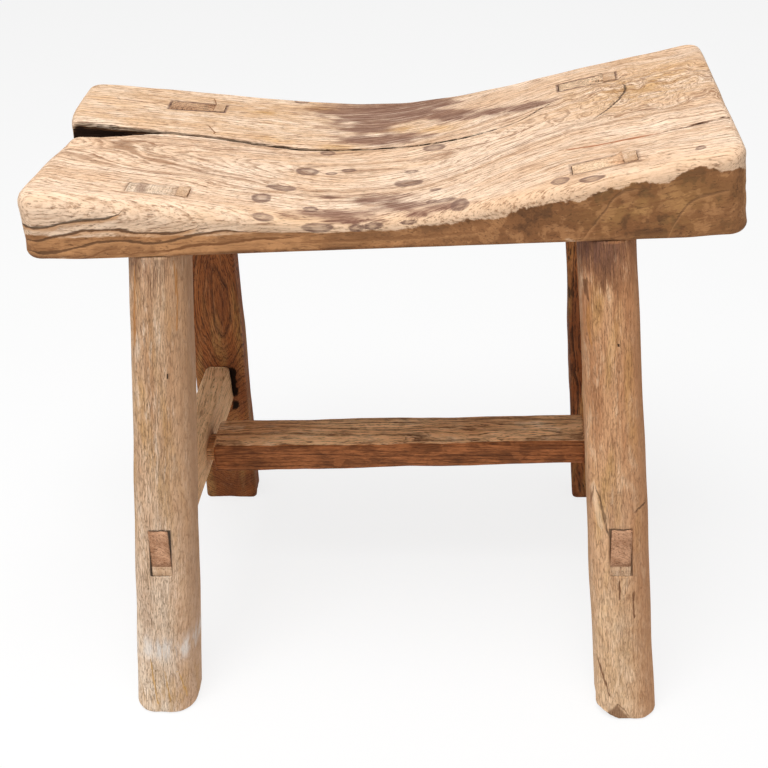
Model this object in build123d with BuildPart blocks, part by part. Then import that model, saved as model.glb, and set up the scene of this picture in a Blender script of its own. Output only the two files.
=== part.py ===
from build123d import *
import os

# Saddle stool of old elm, held together by wedged through tenons.
# Millimetres. X runs along the seat, Y from front to back, Z up from the floor.
# The origin lies on the floor under the middle of the seat.

# Seat slab
seat_length = 520.0
seat_depth = 238.0
seat_underside_height = 409.0
seat_rise = 14.0  # the right end stands this much higher than the left end
seat_left_thickness = 55.8
seat_right_thickness = 66.6
seat_flank_meeting_thickness = 19.2  # where the two flanks would meet under the hollow
seat_flank_meeting_offset = 5.5  # to the right of the seat's middle
seat_hollow_radius = 480.0  # rounds the two flanks into one saddle
seat_right_batter = 6.0  # the right end face leans in by this much at its top
seat_left_setback = 16.0  # in front of the split the left end is worn back this far
seat_corner_round = 14.0
seat_top_round = 8.0
seat_bottom_chamfer = 3.0

# Split from the left end, worn wide at its mouth: centre and width along the seat
left_split_width = 24.0
left_split_centre_shares = (
    (-1.02, 0.034),
    (-0.85, 0.036),
    (-0.75, 0.046),
    (-0.57, 0.074),
    (-0.29, 0.034),
    (-0.02, 0.052),
    (0.24, 0.052),
)
left_split_width_shares = (1.2, 0.5, 0.26, 0.16, 0.1, 0.06, 0.0)

# Split from the right end, a straight drying check
right_split_width = 3.0
right_split_end_share = 0.53
right_split_share = -0.24  # of the seat's depth, from its middle

# Legs: their axes at the seat's underside, and how far the feet stand out from there
leg_end_inset = 96.5
leg_edge_inset = 27.0
leg_top_shift = -5.5  # both rows of mortises stand this far towards the front
leg_edge_splay = 61.5
leg_end_splay = 31.0
leg_end_splay_shares = {
    "front_left": 1.07,
    "front_right": 0.98,
    "rear_left": 0.745,
    "rear_right": 0.96,
}
leg_depth = 42.0
leg_foot_width = 51.0
leg_top_width = 43.5
leg_width_shares = {
    "front_left": 1.02,
    "front_right": 0.98,
    "rear_left": 1.03,
    "rear_right": 0.97,
}
leg_outer_round = 19.0
leg_inner_round = 4.0
foot_round = 3.5

# Tenon of a leg through the seat, and its wedge
seat_mortise_length = 45.0
seat_mortise_width = 16.0
seat_wedge_length = 56.0
seat_wedge_head_thickness = 11.0
seat_wedge_toe_thickness = 3.0
seat_wedge_start_height = 6.0  # above the seat's underside
tenon_recess = 0.6  # the tenons' ends lie this far below what they come through

# Side stretchers, front to back
side_stretcher_top_heights = {"left": 178.0, "right": 181.0}
side_stretcher_height = 41.0
side_stretcher_thickness = 23.0
stretcher_round = 3.0
side_tenon_thickness = 16.0
side_wedge_head_thickness = 9.5
side_wedge_toe_thickness = 4.0

# Cross stretcher, from one side stretcher to the other, hewn wider and thinner to the right
cross_top_heights = {"left": 172.0, "right": 177.0}
cross_widths = {"left": 44.0, "right": 48.0}
cross_thicknesses = {"left": 29.0, "right": 23.5}
cross_standoff = 6.5  # its shoulders stop this far short of the side stretchers
cross_edge_round = 4.0
cross_tenon_width = 28.0
cross_tenon_thickness = 13.0
cross_wedge_head_thickness = 6.0
cross_wedge_toe_thickness = 4.0

# Fit of every tenon and wedge, and one overrun for all cuts
joint_fit = 0.1
overrun = 30.0

half_length = seat_length / 2
half_depth = seat_depth / 2
left_split_y = seat_depth * left_split_centre_shares[0][1]
ceiling = seat_underside_height + seat_rise + seat_right_thickness + overrun
half_leg = leg_depth / 2
leg_top_reach = half_length - leg_end_inset
leg_top_stance = half_depth - leg_edge_inset
foot_stance = leg_top_stance + leg_edge_splay

corners = {
    "front_left": (-1, -1),
    "front_right": (1, -1),
    "rear_left": (-1, 1),
    "rear_right": (1, 1),
}
sides = {"left": -1, "right": 1}


def corner_side(corner):
    """The side that a corner belongs to."""
    return "left" if corners[corner][0] < 0 else "right"


def underside_height(x):
    """Height of the seat's flat underside above the floor."""
    return seat_underside_height + seat_rise * x / seat_length


def saddle_line(recess=0):
    """The seat's top line from left to right, lowered by a recess."""
    right_end = half_length - seat_right_batter
    meeting = seat_flank_meeting_offset
    return FilletPolyline(
        (-half_length, underside_height(-half_length) + seat_left_thickness - recess),
        (meeting, underside_height(meeting) + seat_flank_meeting_thickness - recess),
        (right_end, underside_height(right_end) + seat_right_thickness - recess),
        radius=seat_hollow_radius,
    )


def foot_point(corner):
    """Centre of a leg at the floor."""
    across, along = corners[corner]
    splay = leg_end_splay * leg_end_splay_shares[corner]
    return Vector(across * (leg_top_reach + splay), along * foot_stance, 0)


def top_point(corner):
    """Where a leg's axis meets the seat's underside."""
    across, along = corners[corner]
    x = across * leg_top_reach
    return Vector(x, along * leg_top_stance + leg_top_shift, underside_height(x))


def axis_point(corner, height):
    """Where a leg's axis passes a height above the floor."""
    foot = foot_point(corner)
    run = top_point(corner) - foot
    return foot + run * (height / run.Z)


def leg_length(corner):
    """Length of a leg along its axis, from the floor to the seat."""
    return (top_point(corner) - foot_point(corner)).length


def leg_plane(corner):
    """Plane at the foot's centre, with Z up along the leg and X along the seat."""
    foot = foot_point(corner)
    return Plane(origin=foot, x_dir=(1, 0, 0), z_dir=top_point(corner) - foot)


def leg_face_plane(corner, offset):
    """Plane parallel to a leg's flat inner face, offset from its axis towards the outside."""
    along = corners[corner][1]
    axis_plane = leg_plane(corner)
    outward = axis_plane.y_dir * along
    return Plane(origin=axis_plane.origin + outward * offset, x_dir=axis_plane.x_dir, z_dir=outward)


def leg_side_plane(corner):
    """Plane through a leg's axis that faces the front, with its Y up along the leg."""
    axis_plane = leg_plane(corner)
    return Plane(origin=axis_plane.origin, x_dir=axis_plane.x_dir, z_dir=-axis_plane.y_dir)


def side_middle(side):
    """Height of a side stretcher's centre."""
    return side_stretcher_top_heights[side] - side_stretcher_height / 2


def side_bottom(side):
    """Height of a side stretcher's lower face."""
    return side_stretcher_top_heights[side] - side_stretcher_height


def side_centre(side):
    """Centre of a side stretcher, whose axis runs from leg axis to leg axis."""
    front = axis_point(f"front_{side}", side_middle(side))
    rear = axis_point(f"rear_{side}", side_middle(side))
    return front + (rear - front) * (front.Y / (front.Y - rear.Y))


def side_run(side):
    """Direction of a side stretcher, towards the front."""
    return axis_point(f"front_{side}", side_middle(side)) - side_centre(side)


def side_section_plane(side):
    """Plane across a side stretcher's middle, with its Y up."""
    run = side_run(side)
    return Plane(origin=side_centre(side), x_dir=(-run.Y, run.X, 0), z_dir=run)


def side_length_plane(side):
    """Upright plane along a side stretcher, with its X to the rear and its Y up from the floor."""
    run = side_run(side)
    return Plane(origin=(side_centre(side).X, 0, 0), x_dir=-run, z_dir=(-run.Y, run.X, 0))


def cross_middle(side):
    """Height of the cross stretcher's centre at one end."""
    return cross_top_heights[side] - cross_thicknesses[side] / 2


underside_plane = Plane(
    origin=(0, 0, seat_underside_height),
    x_dir=(seat_length, 0, seat_rise),
    z_dir=(-seat_rise, 0, seat_length),
)


def is_on_top(face):
    """Whether a face of the seat belongs to its saddle, before the rim is rounded."""
    return face.normal_at().Z > 0.5


def rim_edges(faces):
    """The edges round the seat's top or bottom, without those along the split."""
    rim_y = half_depth - seat_corner_round
    rim_x = half_length - seat_corner_round - seat_left_setback
    edges = [edge for face in faces for edge in face.edges()]
    return [edge for edge in edges if abs(edge.center().Y) > rim_y or abs(edge.center().X) > rim_x]


cross_bottoms = {side: cross_top_heights[side] - cross_thicknesses[side] for side in sides}
half_side = side_stretcher_thickness / 2
cross_roots = {side: side_centre(side).X - across * half_side for side, across in sides.items()}
cross_shoulders = {side: cross_roots[side] - across * cross_standoff for side, across in sides.items()}
cross_left_point = Vector(cross_shoulders["left"], 0, cross_middle("left"))
cross_right_point = Vector(cross_shoulders["right"], 0, cross_middle("right"))
cross_axis = cross_right_point - cross_left_point
cross_centre = (cross_left_point + cross_right_point) / 2
cross_section_plane = Plane(origin=cross_centre, x_dir=(0, 1, 0), z_dir=cross_axis)
cross_plan_plane = Plane(
    origin=cross_centre,
    x_dir=cross_axis,
    z_dir=(-cross_axis.Z, 0, cross_axis.X),
)


def cut_above_saddle(recess):
    """Take off whatever stands above the seat's top line."""
    with BuildSketch(Plane.XZ) as waste:
        with BuildLine():
            saddle = saddle_line(recess)
            right_end = saddle @ 1
            left_end = saddle @ 0
            Polyline(right_end, (right_end.X, ceiling), (left_end.X, ceiling), left_end)
        make_face()
    extrude(waste.sketch, amount=seat_depth, both=True, mode=Mode.SUBTRACT)


def seat_wedge_profile(corner, fit):
    """Outline of a seat wedge beside its tenon, seen from the front of the leg."""
    start = leg_length(corner) + seat_wedge_start_height
    outer = seat_mortise_length / 2 - joint_fit + fit
    Polygon(
        (outer - seat_wedge_toe_thickness - 2 * fit, start),
        (outer, start),
        (outer, start + seat_wedge_length),
        (outer - seat_wedge_head_thickness - 2 * fit, start + seat_wedge_length),
        align=None,
    )


# Seat
with BuildPart() as seat:
    with BuildSketch(Plane.XZ.offset(-half_depth)):
        with BuildLine():
            saddle = saddle_line()
            Polyline(
                saddle @ 1,
                (half_length, underside_height(half_length)),
                (-half_length, underside_height(-half_length)),
                saddle @ 0,
            )
        make_face()
    extrude(amount=seat_depth)
    with BuildSketch(Plane.XY) as plan:
        with BuildLine():
            Polyline(
                (-half_length, half_depth),
                (half_length, half_depth),
                (half_length, -half_depth),
                (-half_length, -half_depth),
                (seat_left_setback - half_length, left_split_y),
                (-half_length, left_split_y),
                close=True,
            )
        make_face()
        rows = plan.vertices().group_by(Axis.Y)
        fillet(rows[0] + rows[-1], seat_corner_round)
    extrude(amount=ceiling, mode=Mode.INTERSECT)

    split_centres = [(half_length * x, seat_depth * y) for x, y in left_split_centre_shares]
    split_halves = [left_split_width * share / 2 for share in left_split_width_shares]
    with BuildSketch(Plane.XY):
        with BuildLine():
            rear_edge = Spline(*[(x, y + half) for (x, y), half in zip(split_centres, split_halves)])
            front_edge = Spline(*[(x, y - half) for (x, y), half in zip(split_centres, split_halves)])
            Line(rear_edge @ 0, front_edge @ 0)
        make_face()
    extrude(amount=ceiling, mode=Mode.SUBTRACT)

    top_faces = seat.faces().filter_by(is_on_top)
    fillet(rim_edges(top_faces), seat_top_round)
    bottom_face = seat.faces().filter_by(GeomType.PLANE).sort_by(SortBy.AREA)[-1]
    chamfer(rim_edges([bottom_face]), seat_bottom_chamfer)

    right_split_y = seat_depth * right_split_share
    with BuildSketch(Plane.XY):
        with BuildLine():
            Polyline(
                (half_length * right_split_end_share, right_split_y),
                (half_length, right_split_y - right_split_width / 2),
                (half_length, right_split_y + right_split_width / 2),
                close=True,
            )
        make_face()
    extrude(amount=ceiling, mode=Mode.SUBTRACT)

    for corner in corners:
        with BuildSketch(leg_plane(corner).offset(leg_length(corner) - overrun)):
            Rectangle(seat_mortise_length, seat_mortise_width)
        extrude(amount=seat_right_thickness + 2 * overrun, mode=Mode.SUBTRACT)
seat.part.label = "seat"

# Legs: a tapered D section between the floor and the seat, and a tenon through the seat
leg_parts = {}
for corner, (_, along) in corners.items():
    length = leg_length(corner)
    half_foot = leg_foot_width * leg_width_shares[corner] / 2
    half_top = leg_top_width * leg_width_shares[corner] / 2
    with BuildPart() as leg:
        with BuildSketch(leg_side_plane(corner)):
            Polygon(
                (-half_foot, -overrun),
                (half_foot, -overrun),
                (half_top, length + overrun),
                (-half_top, length + overrun),
                align=None,
            )
        extrude(amount=half_leg, both=True)
        long_edges = leg.edges().sort_by(SortBy.LENGTH)[-4:].sort_by(Axis.Y)
        front_edges = long_edges[:2]
        rear_edges = long_edges[2:]
        fillet(front_edges if along < 0 else rear_edges, leg_outer_round)
        fillet(rear_edges if along < 0 else front_edges, leg_inner_round)
        split(bisect_by=Plane.XY, keep=Keep.TOP)
        split(bisect_by=underside_plane, keep=Keep.BOTTOM)
        foot_face = leg.faces().sort_by(Axis.Z)[0]
        fillet(foot_face.edges(), foot_round)
        with BuildSketch(leg_plane(corner).offset(length - overrun)):
            Rectangle(seat_mortise_length - 2 * joint_fit, seat_mortise_width - 2 * joint_fit)
        extrude(amount=seat_right_thickness + 2 * overrun)
        cut_above_saddle(tenon_recess)
        with BuildSketch(leg_side_plane(corner)):
            seat_wedge_profile(corner, joint_fit)
        extrude(amount=seat_mortise_width, both=True, mode=Mode.SUBTRACT)
        with BuildSketch(side_section_plane(corner_side(corner))):
            Rectangle(side_tenon_thickness + 2 * joint_fit, side_stretcher_height + 2 * joint_fit)
        extrude(amount=seat_depth, both=True, mode=Mode.SUBTRACT)
    leg_parts[corner] = leg.part
    leg_parts[corner].label = f"leg_{corner}"

# Wedges beside the leg tenons, flush with the seat's top
seat_wedge_parts = {}
for corner in corners:
    with BuildPart() as seat_wedge:
        with BuildSketch(leg_side_plane(corner)):
            seat_wedge_profile(corner, 0)
        extrude(amount=seat_mortise_width / 2 - joint_fit, both=True)
        cut_above_saddle(0)
    seat_wedge_parts[corner] = seat_wedge.part
    seat_wedge_parts[corner].label = f"seat_wedge_{corner}"

# Side stretchers: a bar between the legs' flat faces, and a tenon through each leg
side_wedge_outer = foot_stance + half_leg
side_wedge_inner = leg_top_stance


def wedge_top(side, y):
    """Upper face of a side stretcher's wedge, at a distance from the stool's middle."""
    share = (abs(y) - side_wedge_inner) / (side_wedge_outer - side_wedge_inner)
    rise = side_wedge_head_thickness - side_wedge_toe_thickness
    return side_bottom(side) + side_wedge_toe_thickness + share * rise


side_stretcher_parts = {}
for side in sides:
    front = f"front_{side}"
    rear = f"rear_{side}"
    top_height = side_stretcher_top_heights[side]
    head_height = wedge_top(side, side_wedge_outer) + joint_fit
    toe_height = wedge_top(side, side_wedge_inner) + joint_fit
    with BuildPart() as side_stretcher:
        with BuildSketch(side_section_plane(side)):
            RectangleRounded(side_stretcher_thickness, side_stretcher_height, stretcher_round)
        extrude(amount=foot_stance, both=True)
        split(bisect_by=leg_face_plane(front, -half_leg), keep=Keep.BOTTOM)
        split(bisect_by=leg_face_plane(rear, -half_leg), keep=Keep.BOTTOM)
        with BuildSketch(side_length_plane(side)):
            Polygon(
                (-side_wedge_outer, top_height),
                (side_wedge_outer, top_height),
                (side_wedge_outer, head_height),
                (side_wedge_inner, toe_height),
                (-side_wedge_inner, toe_height),
                (-side_wedge_outer, head_height),
                align=None,
            )
        extrude(amount=side_tenon_thickness / 2, both=True)
        split(bisect_by=leg_face_plane(front, half_leg - tenon_recess), keep=Keep.BOTTOM)
        split(bisect_by=leg_face_plane(rear, half_leg - tenon_recess), keep=Keep.BOTTOM)
        with BuildSketch(cross_section_plane):
            Rectangle(cross_tenon_width + 2 * joint_fit, cross_tenon_thickness + 2 * joint_fit)
        extrude(amount=half_length, both=True, mode=Mode.SUBTRACT)
    side_stretcher_parts[side] = side_stretcher.part
    side_stretcher_parts[side].label = f"side_stretcher_{side}"

# Wedges under the side stretchers' tenons, one in each leg
stretcher_wedge_parts = {}
for corner, (_, along) in corners.items():
    side = corner_side(corner)
    with BuildPart() as stretcher_wedge:
        with BuildSketch(side_length_plane(side)):
            Polygon(
                (along * side_wedge_outer, side_bottom(side)),
                (along * side_wedge_outer, wedge_top(side, side_wedge_outer)),
                (along * side_wedge_inner, wedge_top(side, side_wedge_inner)),
                (along * side_wedge_inner, side_bottom(side)),
                align=None,
            )
        extrude(amount=side_tenon_thickness / 2, both=True)
        split(bisect_by=leg_face_plane(corner, half_leg - tenon_recess), keep=Keep.BOTTOM)
        split(bisect_by=leg_face_plane(corner, joint_fit - half_leg), keep=Keep.TOP)
    stretcher_wedge_parts[corner] = stretcher_wedge.part
    stretcher_wedge_parts[corner].label = f"stretcher_wedge_{corner}"

# Cross stretcher: a hewn bar with rounded ends, and a tenon through each side stretcher
half_tenon = cross_tenon_width / 2
tenon_through = side_stretcher_thickness - tenon_recess
tenon_roots = {side: cross_roots[side] - cross_centre.X for side in sides}
tenon_ends = {side: tenon_roots[side] + across * tenon_through for side, across in sides.items()}
with BuildPart() as cross_stretcher:
    with BuildSketch(Plane.XZ):
        Polygon(
            (cross_shoulders["left"], cross_bottoms["left"]),
            (cross_shoulders["right"], cross_bottoms["right"]),
            (cross_shoulders["right"], cross_top_heights["right"]),
            (cross_shoulders["left"], cross_top_heights["left"]),
            align=None,
        )
    extrude(amount=seat_depth / 2, both=True)
    with BuildSketch(Plane.XY):
        Polygon(
            (cross_shoulders["left"], -cross_widths["left"] / 2),
            (cross_shoulders["right"], -cross_widths["right"] / 2),
            (cross_shoulders["right"], cross_widths["right"] / 2),
            (cross_shoulders["left"], cross_widths["left"] / 2),
            align=None,
        )
    extrude(amount=ceiling, mode=Mode.INTERSECT)
    fillet(cross_stretcher.edges(), cross_edge_round)
    with BuildSketch(cross_plan_plane):
        Polygon(
            (tenon_ends["left"], -half_tenon),
            (tenon_ends["right"], -half_tenon),
            (tenon_ends["right"], half_tenon - cross_wedge_head_thickness),
            (tenon_roots["right"], half_tenon - cross_wedge_toe_thickness),
            (tenon_roots["left"], half_tenon - cross_wedge_toe_thickness),
            (tenon_ends["left"], half_tenon - cross_wedge_head_thickness),
            align=None,
        )
    extrude(amount=cross_tenon_thickness / 2, both=True)
cross_stretcher.part.label = "cross_stretcher"

# Wedges beside the cross stretcher's tenons
cross_wedge_parts = {}
for side in sides:
    with BuildPart() as cross_wedge:
        with BuildSketch(cross_plan_plane):
            Polygon(
                (tenon_ends[side], half_tenon),
                (tenon_roots[side], half_tenon),
                (tenon_roots[side], half_tenon - cross_wedge_toe_thickness + joint_fit),
                (tenon_ends[side], half_tenon - cross_wedge_head_thickness + joint_fit),
                align=None,
            )
        extrude(amount=cross_tenon_thickness / 2, both=True)
    cross_wedge_parts[side] = cross_wedge.part
    cross_wedge_parts[side].label = f"cross_wedge_{side}"

# One file for each piece, named after it
os.makedirs("parts", exist_ok=True)
pieces = [
    seat.part,
    cross_stretcher.part,
    *leg_parts.values(),
    *seat_wedge_parts.values(),
    *side_stretcher_parts.values(),
    *stretcher_wedge_parts.values(),
    *cross_wedge_parts.values(),
]
for piece in pieces:
    export_step(piece, f"parts/{piece.label}.step")
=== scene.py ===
"""Saddle stool in old weathered elm, dressed around its CAD frame. Metres, Z up."""

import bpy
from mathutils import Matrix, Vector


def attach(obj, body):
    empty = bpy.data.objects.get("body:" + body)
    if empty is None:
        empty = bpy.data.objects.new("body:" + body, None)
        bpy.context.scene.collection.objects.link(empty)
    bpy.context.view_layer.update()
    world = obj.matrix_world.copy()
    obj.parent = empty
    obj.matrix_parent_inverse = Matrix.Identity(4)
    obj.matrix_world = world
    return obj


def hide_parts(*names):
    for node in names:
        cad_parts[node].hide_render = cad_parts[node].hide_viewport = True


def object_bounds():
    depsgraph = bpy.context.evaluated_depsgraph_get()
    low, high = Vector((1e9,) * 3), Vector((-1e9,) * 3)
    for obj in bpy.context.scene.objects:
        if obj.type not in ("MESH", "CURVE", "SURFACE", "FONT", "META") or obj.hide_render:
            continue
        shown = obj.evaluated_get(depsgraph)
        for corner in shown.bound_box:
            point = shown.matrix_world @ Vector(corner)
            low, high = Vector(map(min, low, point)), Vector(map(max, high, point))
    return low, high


bl_info = {
    "name": "Saddle Stool",
    "version": (1, 0, 0),
    "blender": (4, 5, 0),
    "location": "3D View > Sidebar > Stool",
    "description": "Carves the seat, legs and stretchers of a saddle stool in weathered elm",
    "category": "Add Mesh",
}

import bpy
import numpy as np
from bpy.props import FloatProperty, FloatVectorProperty, PointerProperty
from mathutils import Matrix, Vector

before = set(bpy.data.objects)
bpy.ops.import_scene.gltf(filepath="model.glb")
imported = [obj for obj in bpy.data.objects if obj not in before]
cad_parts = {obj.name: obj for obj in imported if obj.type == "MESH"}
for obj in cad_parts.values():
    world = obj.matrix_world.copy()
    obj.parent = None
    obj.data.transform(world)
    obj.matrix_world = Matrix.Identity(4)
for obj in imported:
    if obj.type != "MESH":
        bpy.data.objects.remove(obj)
CAD_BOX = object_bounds()

MM = 0.001
FIT = 0.1 * MM
CAP_STEPS = 4
HOLE_LEVELS = 8
CORNERS = {
    "front_left": (-1, -1),
    "front_right": (1, -1),
    "rear_left": (-1, 1),
    "rear_right": (1, 1),
}
SIDES = {"left": -1, "right": 1}
END_SPLAY_SHARES = {"front_left": 1.07, "front_right": 0.98, "rear_left": 0.745, "rear_right": 0.96}
LEG_WIDTH_SHARES = {"front_left": 1.02, "front_right": 0.98, "rear_left": 1.03, "rear_right": 0.97}
SIDE_TOP_HEIGHTS = {"left": 178 * MM, "right": 181 * MM}
CROSS_TOP_HEIGHTS = {"left": 172 * MM, "right": 177 * MM}
CROSS_WIDTHS = {"left": 44 * MM, "right": 48 * MM}
CROSS_THICKNESSES = {"left": 29 * MM, "right": 23.5 * MM}


# ---- numpy helpers


def unit(vector):
    """The vector scaled to length one."""
    vector = np.asarray(vector, float)
    return vector / np.linalg.norm(vector)


def smooth(value, low, high):
    """Zero below low, one above high, and 3t^2 - 2t^3 between."""
    t = np.clip((value - low) / (high - low), 0, 1)
    return t * t * (3 - 2 * t)


def through(x, knots_x, knots_y):
    """Cubic Hermite curve through knots, each slope taken from its two neighbours."""
    kx = np.asarray(knots_x, float)
    ky = np.asarray(knots_y, float)
    slopes = np.gradient(ky, kx)
    x = np.clip(x, kx[0], kx[-1])
    i = np.clip(np.searchsorted(kx, x, side="right") - 1, 0, len(kx) - 2)
    h = kx[i + 1] - kx[i]
    t = (x - kx[i]) / h
    start = (2 * t**3 - 3 * t**2 + 1) * ky[i] + (t**3 - 2 * t**2 + t) * h * slopes[i]
    return start + (3 * t**2 - 2 * t**3) * ky[i + 1] + (t**3 - t**2) * h * slopes[i + 1]


def ripple(points, size, seed, count=16):
    """Seeded smooth field of about unit spread: the sum of sine waves whose directions and
    lengths are drawn at random around size, one length or one for each axis."""
    rng = np.random.default_rng(seed)
    directions = rng.normal(size=(count, 3))
    directions /= np.linalg.norm(directions, axis=1)[:, None]
    lengths = rng.uniform(0.6, 1.6, count)
    phases = rng.uniform(0, 2 * np.pi, count)
    scaled = np.asarray(points) / np.asarray(size)
    waves = np.sin(scaled @ (directions * (2 * np.pi / lengths[:, None])).T + phases)
    return waves.sum(axis=-1) / np.sqrt(count / 2)


def bump(distance, radius):
    """A bell that is one at the centre and dies away past its radius."""
    return np.exp(-((distance / radius) ** 2))


def line_distance(x, y, knots):
    """Distance in plan from a broken line."""
    knots = np.asarray(knots, float)
    best = np.full(np.shape(x), np.inf)
    for (x0, y0), (x1, y1) in zip(knots[:-1], knots[1:]):
        run_x, run_y = x1 - x0, y1 - y0
        t = np.clip(((x - x0) * run_x + (y - y0) * run_y) / (run_x**2 + run_y**2), 0, 1)
        best = np.minimum(best, np.hypot(x - x0 - t * run_x, y - y0 - t * run_y))
    return best


def grid_lines(steps, crowding=()):
    """Interval number and share of the way through it for each line of a grid whose intervals
    have so many steps. Lines crowd at an interval's start (-1), its end (1) or both (0)."""
    crowding = dict(crowding)
    numbers, shares = [], []
    for k, count in enumerate(steps):
        t = np.arange(count) / count
        if crowding.get(k) == -1:
            t = 1 - np.cos(t * np.pi / 2)
        elif crowding.get(k) == 1:
            t = np.sin(t * np.pi / 2)
        elif crowding.get(k) == 0:
            t = (1 - np.cos(t * np.pi)) / 2
        numbers.append(np.full(count, k))
        shares.append(t)
    numbers.append([len(steps) - 1])
    shares.append([1.0])
    return np.concatenate(numbers), np.concatenate(shares)


def spread(knots, lines):
    """Values at each line of a grid from its intervals' knots, which may be arrays."""
    numbers, shares = lines
    knots = np.stack(np.broadcast_arrays(*[np.asarray(k, float) for k in knots]))
    shares = shares.reshape(-1, *([1] * (knots.ndim - 1)))
    return knots[numbers] * (1 - shares) + knots[numbers + 1] * shares


# ---- mesh building


def grid_quads(ids, closed=False):
    """Quads of a grid of vertex numbers, rows by columns, closed across its columns or not."""
    turned = np.roll(ids, -1, axis=1) if closed else ids[:, 1:]
    flat = ids if closed else ids[:, :-1]
    return np.stack([flat[:-1], turned[:-1], turned[1:], flat[1:]], axis=-1)


def border_edges(quads):
    """Directed edges that only one quad uses."""
    edges = np.concatenate([quads[:, [k, (k + 1) % 4]] for k in range(4)])
    edges = edges[edges[:, 0] != edges[:, 1]]
    big = quads.max() + 1
    forward = edges[:, 0] * big + edges[:, 1]
    backward = edges[:, 1] * big + edges[:, 0]
    return edges[~np.isin(forward, backward)]


def add_piece(name, material, slot, replaced, points, quads, triangles, fields):
    """A smooth-shaded piece from its points and faces, with its point attributes, riding on
    the stool's one body in place of a CAD node."""
    corners = np.concatenate([quads.ravel(), triangles.ravel()]).astype(int)
    used, packed = np.unique(corners, return_inverse=True)
    mesh = bpy.data.meshes.new(name)
    mesh.vertices.add(len(used))
    mesh.vertices.foreach_set("co", points[used].astype(np.float32).ravel())
    mesh.loops.add(len(packed))
    mesh.loops.foreach_set("vertex_index", packed.ravel().astype(np.int32))
    quad_starts, triangle_starts = np.arange(len(quads)) * 4, np.arange(len(triangles)) * 3
    starts = np.concatenate([quad_starts, quads.size + triangle_starts])
    mesh.polygons.add(len(starts))
    mesh.polygons.foreach_set("loop_start", starts.astype(np.int32))
    mesh.update(calc_edges=True)
    for field, values in fields.items():
        kind, key = {3: ("FLOAT_VECTOR", "vector"), 4: ("FLOAT_COLOR", "color")}[values.shape[1]]
        attribute = mesh.attributes.new(field, kind, "POINT")
        attribute.data.foreach_set(key, values[used].astype(np.float32).ravel())
    mesh.shade_smooth()
    mesh.materials.append(material)
    piece = bpy.data.objects.new(name, mesh)
    bpy.context.collection.objects.link(piece)
    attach(piece, "root")
    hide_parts(replaced)
    return piece


def capped(rings, steps=CAP_STEPS):
    """Rings with shrinking copies of the first and the last before and after them."""
    shares = np.arange(1, steps)[:, None, None] / steps
    first, last = rings[0], rings[-1]
    start = first.mean(0) + (first - first.mean(0)) * shares
    end = last.mean(0) + (last - last.mean(0)) * shares[::-1]
    return np.concatenate([start, rings, end])


def tube(rings, hole=None):
    """A closed tube through rings of points, rows by columns, with a pole at each end. A hole
    is (first row, last row, first column, last column, far columns): it goes through to the
    far columns, which run the other way, and gets walls. Returns points, quads, triangles and
    the wall's first point."""
    rows, columns = rings.shape[:2]
    ids = np.arange(rows * columns).reshape(rows, columns)
    points = [rings.reshape(-1, 3), rings[:1].mean(1), rings[-1:].mean(1)]
    start_pole, end_pole = rows * columns, rows * columns + 1
    quads = grid_quads(ids, closed=True)
    keep = np.ones(quads.shape[:2], bool)
    walls = []
    wall_start = rows * columns + 2
    if hole:
        r0, r1, near, far = hole
        keep[r0:r1, near[:-1]] = False
        keep[r0:r1, far[1:]] = False
        rise = np.arange(r0, r1 + 1)

        def border(cols):
            sides = [ids[r0, cols[:-1]], ids[rise[:-1], cols[-1]]]
            return np.concatenate(sides + [ids[r1, cols[:0:-1]], ids[rise[:0:-1], cols[0]]])

        near_border, far_border = border(near), border(far)
        flat = rings.reshape(-1, 3)
        shares = (np.arange(1, HOLE_LEVELS) / HOLE_LEVELS)[:, None, None]
        between = flat[near_border] + (flat[far_border] - flat[near_border]) * shares
        fresh = wall_start + np.arange(between[..., 0].size).reshape(between.shape[:2])
        levels = np.concatenate([near_border[None], fresh, far_border[None]])
        walls.append(grid_quads(levels, closed=True).reshape(-1, 4))
        points.append(between.reshape(-1, 3))
    quads = np.concatenate([quads[keep]] + walls)
    first, last = ids[0], ids[-1]
    start = np.stack([np.full(columns, start_pole), np.roll(first, -1), first], axis=-1)
    end = np.stack([np.full(columns, end_pole), last, np.roll(last, -1)], axis=-1)
    triangles = np.concatenate([start, end])
    return np.concatenate(points), quads, triangles, wall_start


# ---- the stool's lines


def underside(s, x):
    """Height of the seat's flat underside above the floor."""
    return s.underside_height + s.seat_rise * x / s.seat_length


def saddle(s, x):
    """Height of the seat's top line: two straight flanks and an arc that touches both."""
    half = s.seat_length / 2
    right_x = half - s.right_batter
    left = np.array([-half, underside(s, -half) + s.left_thickness])
    right = np.array([right_x, underside(s, right_x) + s.right_thickness])
    meet = np.array([s.meeting_offset, underside(s, s.meeting_offset) + s.meeting_thickness])
    down, up = unit(meet - left), unit(right - meet)
    reach = s.hollow_radius * np.tan(np.arccos(down @ up) / 2)
    start, end = meet - down * reach, meet + up * reach
    centre = start + s.hollow_radius * np.array([-down[1], down[0]])
    fall = left[1] + (x - left[0]) * down[1] / down[0]
    rise = meet[1] + (x - meet[0]) * up[1] / up[0]
    arc = centre[1] - np.sqrt(np.maximum(s.hollow_radius**2 - (x - centre[0]) ** 2, 0))
    flanks = np.where(x < meet[0], fall, rise)
    return np.where((x > start[0]) & (x < end[0]), arc, flanks)


def leg_line(s, corner):
    """Centre of a leg's foot, and where its axis meets the seat's underside."""
    across, along = CORNERS[corner]
    x = across * (s.seat_length / 2 - s.leg_end_inset)
    y = along * (s.seat_depth / 2 - s.leg_edge_inset)
    top = np.array([x, y + s.leg_top_shift, underside(s, x)])
    out = across * s.leg_end_splay * END_SPLAY_SHARES[corner]
    foot = np.array([x + out, y + along * s.leg_edge_splay, 0.0])
    return foot, top


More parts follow.
